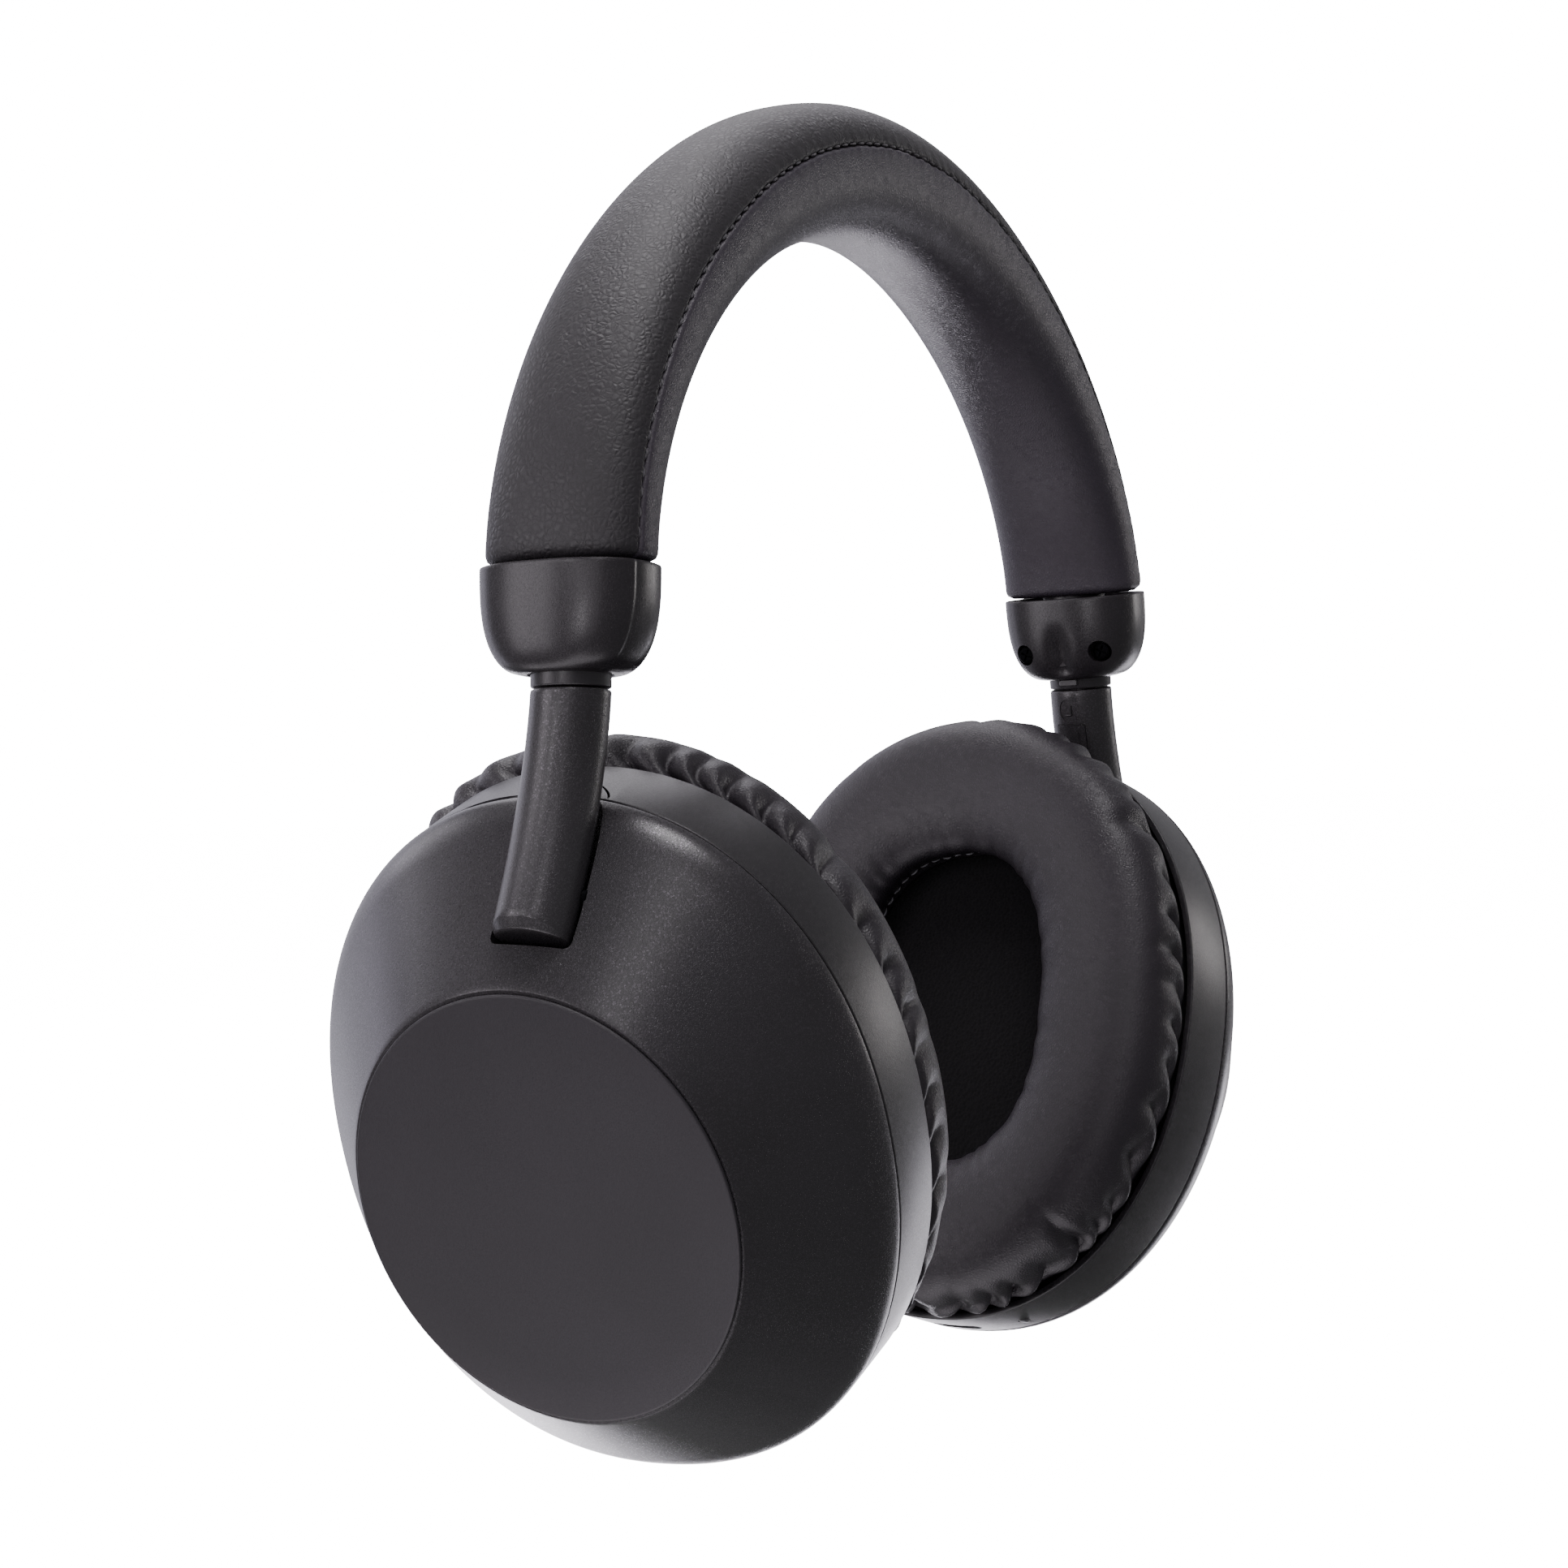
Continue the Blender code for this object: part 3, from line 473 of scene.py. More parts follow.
def mesh_fabric(name, colour, pitch, depth):
    """Knitted acoustic cloth: rows of small loops with painted shade in the holes between them, soft and
    nearly black.
    """
    n = Nodes(name, 0.95, Specular_IOR_Level=0.10, Sheen_Weight=0.08, Sheen_Roughness=0.6)
    turned = n.add("ShaderNodeMapping", {"Vector": n.place, "Rotation": (0.78, 0.0, 0.0)}).outputs[0]
    holes = n.cells(1.0 / pitch, vector=turned)
    lint = n.noise(900.0, 3.0)
    n.set("Normal", n.bump(n.math("ADD", holes, n.math("MULTIPLY", lint, 0.5)), 0.9, depth))
    lighter = tuple(c * 2.2 for c in colour)
    # the holes between the loops are painted darker than the loops: painted shade
    n.set("Base Color", n.mix(n.remap(holes, 0.1, 0.6, 0.0, 1.0), colour, lighter))
    return n.material


def metal(name, colour, roughness):
    """Brushed steel with fine lines."""
    n = Nodes(name, roughness, Metallic=1.0)
    lines = n.noise(500.0, 2.0, n.stretched((1.0, 1.0, 14.0)))
    n.set("Normal", n.bump(lines, 0.4, 0.00002))
    n.set("Base Color", n.mix(lines, tuple(c * 0.8 for c in colour), colour))
    return n.material


def thread(name, colour):
    """Twisted sewing thread, with painted shade in the grooves of the twist."""
    n = Nodes(name, 0.7, Sheen_Weight=0.3)
    twist = n.add("ShaderNodeTexWave", {"Vector": n.place, "Scale": 900.0, "Distortion": 1.0}).outputs[0]
    n.set("Normal", n.bump(twist, 0.7, 0.00004))
    # the grooves of the twist are painted darker: painted shade
    n.set("Base Color", n.mix(twist, tuple(c * 0.6 for c in colour), colour))
    return n.material


def lamp_plastic(name, colour):
    n = Nodes(name, 0.3, Transmission_Weight=0.2)
    n.set("Base Color", n.mix(n.noise(600.0), tuple(c * 0.8 for c in colour), colour))
    return n.material


def paint(obj, material):
    obj.data.materials.clear()
    obj.data.materials.append(material)


def finish(obj, body, material, slot, *replaced):
    """The body that a piece rides on, the nodes that it stands for, and its material."""
    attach(obj, body)
    if replaced:
        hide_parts(*replaced)
    paint(obj, material)


# Base colours are linear.
COVER_LEATHER = leather("cover_grain", (0.021, 0.019, 0.0215), (0.026, 0.0235, 0.027), 0.00080, 0.00006, 0.46)
PAD_LEATHER = leather("pad_grain", (0.038, 0.032, 0.042), (0.052, 0.044, 0.058), 0.00042, 0.00004, 0.36)
EAR_LEATHER = leather("ear_grain", (0.020, 0.0168, 0.0214), (0.029, 0.0245, 0.031), 0.00045, 0.00004, 0.36)
HOUSING_PLASTIC = moulded("housing_satin", (0.018, 0.0155, 0.018), (0.024, 0.0205, 0.0245), 0.31, 0.00030,
                          0.000010, 0.25)
STEM_PLASTIC = moulded("stem_satin", (0.024, 0.021, 0.025), (0.031, 0.028, 0.032), 0.34, 0.00030, 0.000010)
ARM_PLASTIC = moulded("arm_flake", (0.030, 0.027, 0.030), (0.037, 0.034, 0.038), 0.31, 0.00025, 0.000014, 0.9)
SHELL_PLASTIC = moulded("shell_flake", (0.023, 0.0205, 0.023), (0.029, 0.026, 0.030), 0.30, 0.00025,
                        0.000014, 1.0)
# a darker copy of the shell's flaked plastic for the rim ring, which is the same plastic: painted shade
RING_SHADED_PLASTIC = moulded("ring_flake_painted_shade", (0.015, 0.0135, 0.0158), (0.020, 0.018, 0.021), 0.34, 0.00025,
                       0.000014, 0.5)
FACE_PLASTIC = moulded("face_matt", (0.020, 0.0172, 0.0215), (0.024, 0.0207, 0.0258), 0.50, 0.00022, 0.000010)
INNER_PLASTIC = moulded("inner_black", (0.010, 0.010, 0.011), (0.014, 0.014, 0.015), 0.5, 0.0004, 0.00001)
# darker than black cloth: the cloth's own black and painted shade inside the cushion's opening
EAR_FABRIC = mesh_fabric("acoustic_mesh", (0.0016, 0.0013, 0.0017), 0.0006, 0.00008)
CONE_FILM = moulded("cone_film", (0.020, 0.020, 0.021), (0.030, 0.030, 0.032), 0.3, 0.0008, 0.00002)
STEEL = metal("steel", (0.45, 0.45, 0.46), 0.3)
# steel painted nearly black: painted shade for the screws at the bottom of their holes and for the hinge pin
# in the gap round the arm
SHADE_BLACK_STEEL = metal("steel_painted_shade", (0.006, 0.006, 0.007), 0.6)
DARK_THREAD = thread("dark_thread", (0.07, 0.065, 0.075))
GREY_THREAD = thread("grey_thread", (0.26, 0.26, 0.28))
LAMP = lamp_plastic("lamp_window", (0.10, 0.10, 0.11))
BOARD = moulded("board_mask", (0.008, 0.05, 0.025), (0.012, 0.07, 0.035), 0.4, 0.0010, 0.00002)
WRAP = moulded("battery_wrap", (0.05, 0.07, 0.14), (0.07, 0.09, 0.18), 0.4, 0.0020, 0.00003)


# ---------------------------------------------------------------- headband

ALONG = distances(PATH)         # distance along the centre line at each station


def band_half_sizes():
    w = WEIGHT[:, None]
    half_width = BAND_HALF_WIDTH[0] + (BAND_HALF_WIDTH[1] - BAND_HALF_WIDTH[0]) * w
    half_thick = BAND_HALF_THICK[0] + (BAND_HALF_THICK[1] - BAND_HALF_THICK[0]) * w
    return half_width, half_thick


def end_inset():
    """How far the leather rolls in at each end of the band."""
    near = np.minimum(ALONG, ALONG[-1] - ALONG)
    t = np.clip(near / BAND_END_ROLL, 0, 1)
    return (1.0 - np.sqrt(1 - (1 - t) ** 2))[:, None]


def seam_angle(level):
    return math.asin(level ** (BAND_POWER / 2))


def half_band(name, sweep, pucker, replaced, material, slot):
    """One half of the band's leather: sweep lists the section's angles from seam to seam."""
    half_width, half_thick = band_half_sizes()
    across = signed_power(np.cos(sweep), 2 / BAND_POWER) * half_width
    out = signed_power(np.sin(sweep), 2 / BAND_POWER) * half_thick
    arc = np.linspace(0, 1, len(sweep))
    edge = np.minimum(arc, 1 - arc) * np.hypot(half_width, half_thick).mean() * np.pi
    tuck = np.clip(1 - edge / SEAM_ROLL, 0, 1)
    inset = SEAM_SINK * (1 - np.sqrt(1 - 0.98 * tuck ** 2)) + END_SINK * end_inset()
    inset = inset + pucker(arc, edge)
    scale = 1 - inset / np.hypot(across, out)
    across, out = across * scale, out * scale
    base = PATH[:, None, :] + np.array([0, 0, JOINT_Z + GAP])
    outer = base + across[..., None] * np.array([0, 1, 0]) + out[..., None] * NORMALS[:, None, :]
    inner_scale = 1 - LEATHER_THICK / np.hypot(across, out)
    inner = (base + (across * inner_scale)[..., None] * np.array([0, 1, 0])
             + (out * inner_scale)[..., None] * NORMALS[:, None, :])
    rings = np.concatenate([outer, inner[:, ::-1]], axis=1)
    obj = skin(name, rings, sharp=None)
    finish(obj, "headband", material, slot, replaced)
    return obj


def seam_pucker(seed, depth, reach):
    """Small folds square to the seam, strongest beside it, where the leather is drawn in by the thread."""
    along = ALONG[:, None]
    wander = np.array([noise.noise(Vector((a * 0.09, seed, 0))) for a in along[:, 0]])[:, None]
    tight = 0.35 + 0.65 * WEIGHT[:, None] ** 3

    def pucker(arc, edge):
        near = np.exp(-edge / reach)[None, :]
        wave = np.sin(2 * np.pi * along / STITCH_PITCH + 2.2 * wander + 1.3 * (arc[None, :] > 0.5))
        drift = np.sin(2 * np.pi * along / DRIFT_LENGTH + 5 * wander)
        return depth * near * tight * (0.55 * wave + 0.6 * drift * np.exp(-edge / (3 * reach))[None, :] + 0.3)

    return pucker


def make_headband():
    low = seam_angle(SEAM_HEIGHT)
    top = np.linspace(low, math.pi - low, COVER_COLUMNS)
    cover = half_band("headband_cover_leather", top, seam_pucker(3.1, 0.26, 1.6), "headband_cover",
                      COVER_LEATHER, "cover_leather")
    under = np.linspace(math.pi - low, 2 * math.pi + low, UNDER_COLUMNS)
    pad = half_band("headband_pad_leather", under, seam_pucker(8.7, 0.20, 1.3), "headband_pad",
                    PAD_LEATHER, "pad_leather")
    make_band_stitches()


def make_band_stitches():
    """The thread that shows in the groove of the seam on each side edge."""
    half_width, half_thick = band_half_sizes()
    level = SEAM_HEIGHT * half_thick[:, 0]
    reach = half_width[:, 0] * (1 - SEAM_HEIGHT ** BAND_POWER) ** (1 / BAND_POWER) - THREAD_SINK
    for edge, label in ((-1, "front"), (1, "rear")):
        line = PATH + np.array([0, 0, JOINT_Z + GAP]) + NORMALS * level[:, None]
        line = line + np.stack([0 * reach, edge * reach, 0 * reach], -1)
        parts = []
        for start in np.arange(STITCH_ENDS[0], ALONG[-1] - STITCH_ENDS[1], STITCH_PITCH):
            points = sample(line, ALONG, start + np.linspace(0, STITCH_LENGTH, 5))
            points[:, 1] += edge * np.sin(np.linspace(0, np.pi, 5)) * THREAD_ARCH
            parts.append(tube(points, THREAD_R, 6))
        points, faces = gather(parts)
        stitches = build("headband_stitches_" + label, points, faces, sharp=None)
        finish(stitches, "headband", DARK_THREAD, "cover_leather")


# ---------------------------------------------------------------- slider housing, stem and arm

def bowl_ring(depth, inset):
    """A ring of the bowl-shaped housing at a depth below its lip, in the stem frame."""
    t = min(1.0, max(0.0, depth) / HOUSING_DEPTH)
    shrink = (1 - t ** HOUSING_CURVE[0]) ** (1 / HOUSING_CURVE[1])
    half = [HOUSING_FOOT + (h - inset - HOUSING_FOOT) * shrink for h in HOUSING_HALF]
    xy = superellipse(half[0], half[1], HOUSING_POWER, HOUSING_STEPS)
    if inset < 0.6:
        # the inner half sits just inside the outer cap, with a soft hollow next to the parting line
        behind = PARTING_X - xy[:, 0]
        step = PARTING_STEP * smoothstep(0.0, 0.35, behind)
        hollow = HOLLOW_DEPTH * np.exp(-(xy[:, 1] / HOLLOW_WIDTH) ** 2) * (xy[:, 0] < 0)
        radius = np.hypot(xy[:, 0], xy[:, 1])
        keep = smoothstep(0.0, 2.0, HOUSING_DEPTH - depth)
        xy = xy * (1 - (step + hollow * smoothstep(3.0, 9.0, depth) * keep) / radius)[:, None]
    return np.column_stack([xy, np.full(len(xy), -depth)])


def make_housing(side, label):
    rings = [bowl_ring(0.9, HOUSING_WALL - 0.2), bowl_ring(0.05, HOUSING_WALL - 0.35),
             bowl_ring(0.0, 0.25), bowl_ring(0.08, 0.07), bowl_ring(0.25, 0.0)]
    wall_end = 9.0
    curve = np.sin(np.linspace(0.08, 1, 16) * np.pi / 2)
    depths = np.concatenate([np.linspace(0.6, wall_end, 15), wall_end + (HOUSING_DEPTH - wall_end) * curve])
    rings += [bowl_ring(d, 0.0) for d in depths]
    hole = STEM_R + STEM_ROOM
    for widen, above in ((1.03, 0.0), (1.0, 0.2), (1.0, HOUSING_WALL)):
        rings.append(circle_ring(hole, -HOUSING_DEPTH + above, HOUSING_STEPS) * (widen, widen, 1.0))
    rings += [bowl_ring(d, HOUSING_WALL) for d in (10.9, 8.5, 5.0, 2.0)]
    housing = skin("housing_shell_" + label, rings, STEM_FRAME, side, loop=True, sharp=50)
    for y in (-SCREW_Y, SCREW_Y):
        boolean(housing, screw_hole(y, side))
    finish_shading(housing, 40)
    finish(housing, "headband", HOUSING_PLASTIC, "housing_plastic", "housing_" + label)
    for y, end in ((-SCREW_Y, "front"), (SCREW_Y, "rear")):
        make_screw(side, label, y, end)


def disc_rings(y, levels):
    """Rings round an X-wise axis through a screw's middle: pairs of x and radius."""
    return [circle((x, y, SCREW_Z), np.array((0, 1, 0)), np.array((0, 0, 1)), r, 32) for x, r in levels]


def screw_hole(y, side):
    return skin("hole", disc_rings(y, [(x, SCREW_HOLE_R) for x in SCREW_HOLE_X]), STEM_FRAME, side)


def make_screw(side, label, y, end):
    """A small pan-head screw with a cross recess, at the bottom of its hole."""
    r = SCREW_HOLE_R - GAP
    profile = ((0.8, r), (-0.5, r), (-0.72, r - 0.12), (-0.8, r - 0.35))
    head = disc_rings(y, [(SCREW_X + x, radius) for x, radius in profile])
    screw = skin("screw_%s_%s" % (label, end), head, STEM_FRAME, side)
    for turn in (0.4, 0.4 + math.pi / 2):
        a = np.array([0, math.cos(turn), math.sin(turn)])
        b = np.array([0, -math.sin(turn), math.cos(turn)])
        long, wide = SCREW_CROSS
        corners = [sa * long * a + sb * wide * b for sa, sb in ((1, 1), (-1, 1), (-1, -1), (1, -1))]
        rings = [np.array([c + (x, y, SCREW_Z) for c in corners]) for x in (SCREW_X - 1.0, SCREW_X - 0.35)]
        boolean(screw, skin("recess", rings, STEM_FRAME, side))
    finish_shading(screw, 30)
    # the screw head is painted nearly black: painted shade at the bottom of its hole
    finish(screw, "headband", SHADE_BLACK_STEEL, "steel", "housing_screw_%s_%s" % (label, end))


def circle_ring(radius, z, steps=64):
    return np.column_stack([superellipse(radius, radius, 2.0, steps), np.full(steps, z)])


def make_stem(side, label):
    low = -STEM_SEAM + 0.10
    levels = ((STEM_R - 0.6, STEM_TOP), (STEM_R, STEM_TOP - 0.6), (STEM_R, low + 0.25),
              (STEM_R - 0.08, low + 0.07), (STEM_R - 0.25, low), (SPIGOT_R, low),
              (SPIGOT_R, low - SPIGOT_LENGTH))
    stem = skin("slider_" + label, [circle_ring(r, z) for r, z in levels], STEM_FRAME, side, sharp=50)
    finish(stem, "slider_" + label, STEM_PLASTIC, "stem_plastic", "slider_stem_" + label)
    # the small stop on the collar's inner side
    outline = rounded([(-1.6, -0.45), (1.6, -0.45), (1.6, 0.45), (-1.6, 0.45)], 0.2, 3)
    rings = []
    for out, shrink in ((-0.4, 1.0), (0.22, 1.0), (0.32, 0.9)):
        ring = []
        for y, z in outline:
            r = STEM_R + out
            turn = y * shrink / r
            ring.append((-r * math.cos(turn), r * math.sin(turn), -STEM_SEAM + 1.2 + z * shrink))
        rings.append(ring)
    stop = skin("slider_stop_" + label, rings, STEM_FRAME, side)
    finish(stop, "slider_" + label, STEM_PLASTIC, "stem_plastic")


def arm_point(t):
    return np.array([ARM_REACH * abs(t) ** ARM_POWER, ARM_BACK * t, -STEM_SEAM - ARM_DROP * t])


def arm_axes(t):
    """Centre of the arm at t and its directions outward, across and along, in the stem frame."""
    step = 0.01
    d = arm_point(t + step) - arm_point(t - step) if t > step else arm_point(0.02) - arm_point(0)
    d = unit(d)
    out = unit(np.array([1.0, 0, 0]) - d[0] * d)
    return arm_point(t), out, np.cross(d, out), d


def arm_ring(t, radius, further=0.0):
    centre, out, across, d = arm_axes(t)
    return circle(centre + d * further, out, across, radius, ARM_STEPS)


def make_arm(side, label):
    top = -STEM_SEAM - 0.10
    bore = SPIGOT_R + GAP
    levels = ((bore, top - SPIGOT_LENGTH - 0.6), (bore, top), (STEM_R - 0.35, top),
              (STEM_R - 0.1, top - 0.09), (STEM_R, top - 0.35))
    rings = [circle_ring(r, z, ARM_STEPS) * (1, -1, 1) for r, z in levels]
    rings += [arm_ring(t, STEM_R) for t in np.linspace(0.03, 0.955, 40)]
    # a crescent facet on the outer side of the tip, which runs out to nothing at its sides
    facing = np.cos(angles(ARM_STEPS))[:, None]
    facet = TIP_CHAMFER * smoothstep(-0.05, 1.0, facing)
    for out, down in ((0.0, -0.14), (0.03, -0.05), (0.10, 0.04), (0.92, 0.94)):
        rings.append(arm_ring(1.0, STEM_R - facet * out - 0.02, -facet * (1 - down) * 1.15 - 0.16))
    for inset, back in ((0.08, -0.05), (0.20, 0.0), (0.9, 0.0)):
        rings.append(arm_ring(1.0, STEM_R - facet - inset, back))
    arm = skin("arm_tube_" + label, rings, ARM_FRAMES[side], side, sharp=60)
    boolean(arm, pin_bore(side))
    boolean(arm, surface_plate(side, "seat", -1.1, 0.6, 0.06))
    boolean(arm, badge_disc(side, "badge_seat", -BADGE_SINK, 0.6))
    finish_shading(arm, 45)
    finish(arm, "arm_" + label, ARM_PLASTIC, "arm_plastic", "arm_" + label)
    panel = surface_plate(side, "arm_cover_" + label, -1.0, 0.0, 0.0)
    finish_shading(panel, 30)
    finish(panel, "arm_" + label, ARM_PLASTIC, "arm_plastic", "arm_panel_" + label)
    make_badge(side, label)


PIVOT_T = 1 - PIVOT_ABOVE_TIP / ARM_DROP
PANEL = (-2.6, 2.6, 5.1, 12.4)          # across, and down from the seam
BADGE_DOWN = 2.9
BADGE_R = 1.7
BADGE_SINK = 0.16
LETTER_R = 0.13


def pin_bore(side):
    centre, _, _, along = arm_axes(PIVOT_T)
    axis = np.array(STEM_TO_CUP.inverted().to_3x3() @ Vector((0, 1, 0)))
    one, two = square_to(axis, along)
    centre = centre - np.array((PIVOT_INWARD, 0, 0))
    rings = [circle(centre + axis * y, one, two, PIN_R + PIN_ROOM, 32) for y in (-8, 8)]
    return skin("pin_bore", rings, ARM_FRAMES[side], side)


def make_hinge_pin(side, label):
    """The pin through the arm, which ends in the walls of the slot."""
    centre = arm_axes(PIVOT_T)[0]
    centre = np.array(STEM_TO_CUP @ Vector(centre - np.array((PIVOT_INWARD, 0, 0))))
    reach = STEM_R + SLOT_GAP
    levels = ((-reach, PIN_R - 0.1), (-reach + 0.1, PIN_R), (reach - 0.1, PIN_R), (reach, PIN_R - 0.1))
    pin = bar("pin_" + label, centre, np.array([0, 1.0, 0]), levels, side, 32)
    # the pin is painted nearly black: painted shade in the gap round the arm
    finish(pin, "cup_" + label, SHADE_BLACK_STEEL, "steel", "hinge_pin_" + label)


def on_arm(y, down, out):
    """A point on the arm's inner side: y round it, down from the seam, and out from its surface."""
    centre, outward, across, _ = arm_axes(down / ARM_DROP)
    r = STEM_R + out
    return centre - outward * r * math.cos(y / STEM_R) + across * r * math.sin(y / STEM_R)


def surface_plate(side, name, low, high, margin):
    """A plate that follows the arm's inner side, from low to high above its surface."""
    y0, y1, d0, d1 = (edge + way * margin for edge, way in zip(PANEL, (-1, 1, -1, 1)))
    outline = rounded([(y0, d0), (y1, d0), (y1, d1), (y0, d1)], 0.5, 4)
    fine = []
    for a, b in zip(outline, outline[1:] + outline[:1]):
        count = max(1, int(np.linalg.norm(b - a) / 0.4))
        fine += [a + (b - a) * i / count for i in range(count)]
    rings = [[on_arm(y, d, out) for y, d in fine] for out in (low, high)]
    if margin == 0.0:
        middle = np.mean(fine, axis=0)
        rings[1] = [on_arm(y, d, high - 0.08) for y, d in fine]
        for inset in (0.08, 1.0):
            ring = [f + (middle - f) / np.linalg.norm(middle - f) * inset for f in fine]
            rings.append([on_arm(y, d, high) for y, d in ring])
    return skin(name, rings, ARM_FRAMES[side], side)


def badge_disc(side, name, low, high):
    outline = superellipse(BADGE_R, BADGE_R, 2.0, 40)
    rings = [[on_arm(y, BADGE_DOWN + d, out) for y, d in outline] for out in (low, high)]
    return skin(name, rings, ARM_FRAMES[side], side)


LETTERS = {
    "left": (((-0.42, -0.75), (-0.42, 0.70), (0.48, 0.70)),),
    "right": (((-0.45, 0.78), (-0.45, -0.72), (0.12, -0.72), (0.44, -0.46), (0.44, -0.22), (0.12, 0.04),
               (-0.45, 0.04)), ((0.10, 0.04), (0.52, 0.78))),
}


def make_badge(side, label):
    """The side mark: a recessed round badge with a raised letter."""
    parts = []
    for stroke in LETTERS[label]:
        places = []
        for (y0, d0), (y1, d1) in zip(stroke, stroke[1:]):
            for t in np.linspace(0, 1, 6):
                places.append((y0 + (y1 - y0) * t, d0 + (d1 - d0) * t))
        # the mirrored side would show its letter reversed, so the letter is turned round on one side
        points = [on_arm(-side * y, BADGE_DOWN + d, -0.12) for y, d in places]
        clean = [points[0]] + [b for a, b in zip(points, points[1:]) if np.linalg.norm(b - a) > 1e-4]
        parts.append(tube(clean, LETTER_R, 8, taper=False))
    points, faces = gather(parts)
    letter = build("side_mark_" + label, points, faces, ARM_FRAMES[side], side)
    finish(letter, "arm_" + label, STEM_PLASTIC, "stem_plastic")


# ---------------------------------------------------------------- ear cup

CORNER_U = RING_DEPTH + 2.6
LIP = 1.0                       # thickness of the rim's front lip round the cushion's foot
SEAM_OPEN = 0.08                # half the seam between the shell and the rim ring


def shell_ring(u, inset=0.0):
    t = max(0.0, (u - CORNER_U) / (FACE_U - CORNER_U))
    half = [c + (f - c) * t - inset for c, f in zip(CUP_HALF, FACE_HALF)]
    offset = [o * t for o in FACE_OFFSET]
    return oval(half, u, CUP_POWER + (2.0 - CUP_POWER) * t, offset)


def shoulder(inset, steps):
    start, end = RING_DEPTH + SEAM_OPEN + 0.3, CORNER_U + 3.4
    a, b, c = (shell_ring(u, inset) for u in (start, CORNER_U, end))
    return [(1 - t) ** 2 * a + 2 * t * (1 - t) * b + t ** 2 * c for t in np.linspace(0, 1, steps)]


def shell_body(name, side, hollow, inset=0.0):
    """The outer shell, as a hollow body or, for trimming the arm's pocket, as a filled one."""
    seam = RING_DEPTH + SEAM_OPEN
    top = FACE_U - 0.55
    rings = [shell_ring(seam + up, inset + more) for up, more in ((0.0, 0.3), (0.05, 0.1), (0.25, 0.0))]
    rings += shoulder(inset, 24)
    rings += [shell_ring(u, inset) for u in np.linspace(CORNER_U + 4.2, top - 0.15, 26)]
    if hollow:
        lip = ((0.0, 0.06), (0.0, 1.6), (1.9, 1.7), (2.1, 4.0), (3.6, 4.0))
        rings += [shell_ring(top - down, deeper) for down, deeper in lip]
        rings += [shell_ring(u, CUP_WALL + 0.6) for u in (26.0, 22.0)]
        rings += shoulder(CUP_WALL, 7)[::-1]
        rings.append(shell_ring(seam, CUP_WALL))
    return skin(name, rings, CUP_FRAMES[side], side, loop=hollow, sharp=50)


def slot_body(name, side, gap, depth, ends, outward):
    """A body that follows the arm: round on its inner side, deepened by depth, and open outwards."""
    start, end, round_end = ends
    radius = STEM_R + gap
    a = np.linspace(np.pi / 2, 3 * np.pi / 2, 25)
    length = ARM_DROP * 1.03
    places = [(t, radius, 0.0) for t in np.linspace(start, end, 22)]
    for turn in np.radians((20, 45, 70, 90)) if round_end else ():
        places.append((end, radius - round_end * (1 - math.cos(turn)), round_end * math.sin(turn)))
    made = []
    for t, r, further in places:
        centre, out, across, d = arm_axes(t)
        centre = centre + d * further
        deeper = depth(t + further / length)
        inner = [centre - out * deeper + r * (math.cos(k) * out + math.sin(k) * across) for k in a]
        far = [centre + out * outward - across * r, centre + out * outward + across * r]
        made.append(np.array(inner + far))
    return skin(name, made, ARM_FRAMES[side], side)


def swing_room(t):
    """How much deeper than the arm its slot is, so that the tip can swing in as the cup tilts."""
    return 0.2 + max(0.0, (t - PIVOT_T) * ARM_DROP * 0.34)


def make_shell(side, label):
    shell = shell_body("shell_" + label, side, True)
    pocket = slot_body("pocket", side, SLOT_GAP + 1.4, lambda t: swing_room(t) + 0.2, (0.3, 1.08, 0.0), 12.0)
    boolean(pocket, shell_body("trim", side, False, 0.5), "INTERSECT")
    boolean(shell, pocket, "UNION")
    slot = slot_body("slot", side, SLOT_GAP, swing_room, (0.16, 0.998, 1.0), 14.0)
    boolean(shell, slot)
    finish_shading(shell, 35)
    finish(shell, "cup_" + label, SHELL_PLASTIC, "shell_plastic",
           "outer_shell_" + label, "arm_channel_" + label)


def make_face_plate(side, label):
    """A thin disc on the shell's lip, with a plug under it and a fine rounded edge."""
    top = FACE_U
    profile = ((1.8, top - 1.4), (1.8, top - 0.46), (0.06, top - 0.46), (0.0, top - 0.40), (0.0, top - 0.22),
               (0.05, top - 0.10), (0.16, top - 0.02), (0.36, top), (6.0, top), (14.0, top))
    rings = [oval([h - 0.03 - inset for h in FACE_HALF], u, 2.0, FACE_OFFSET) for inset, u in profile]
    plate = skin("face_disc_" + label, rings, CUP_FRAMES[side], side, sharp=50)
    finish(plate, "cup_" + label, FACE_PLASTIC, "face_plastic", "face_plate_" + label)


def ring_from_profile(name, side, profile):
    """A closed ring round the cup from a closed outline of (inset, u)."""
    rings = [oval([h - inset for h in CUP_HALF], u) for inset, u in profile]
    return skin(name, rings, CUP_FRAMES[side], side, loop=True, sharp=50)


def make_rim(side, label):
    seam = RING_DEPTH - SEAM_OPEN
    outline = [(0.0, seam), (CUP_WALL, seam), (CUP_WALL, 2.8), (LIP, 2.8), (LIP, 0.0), (0.0, 0.0)]
    profile = rounded(outline, [0.25, 0.1, 0.1, 0.1, 0.15, 0.25], 4)
    rim = ring_from_profile("rim_" + label, side, profile)
    if side > 0:
        cut_port(rim, side)
    else:
        cut_buttons(rim, side)
    cut_slits(rim, side)
    finish_shading(rim, 35)
    # the rim ring gets the darker copy of the shell's plastic: painted shade
    finish(rim, "cup_" + label, RING_SHADED_PLASTIC, "shell_plastic", "rim_ring_" + label)


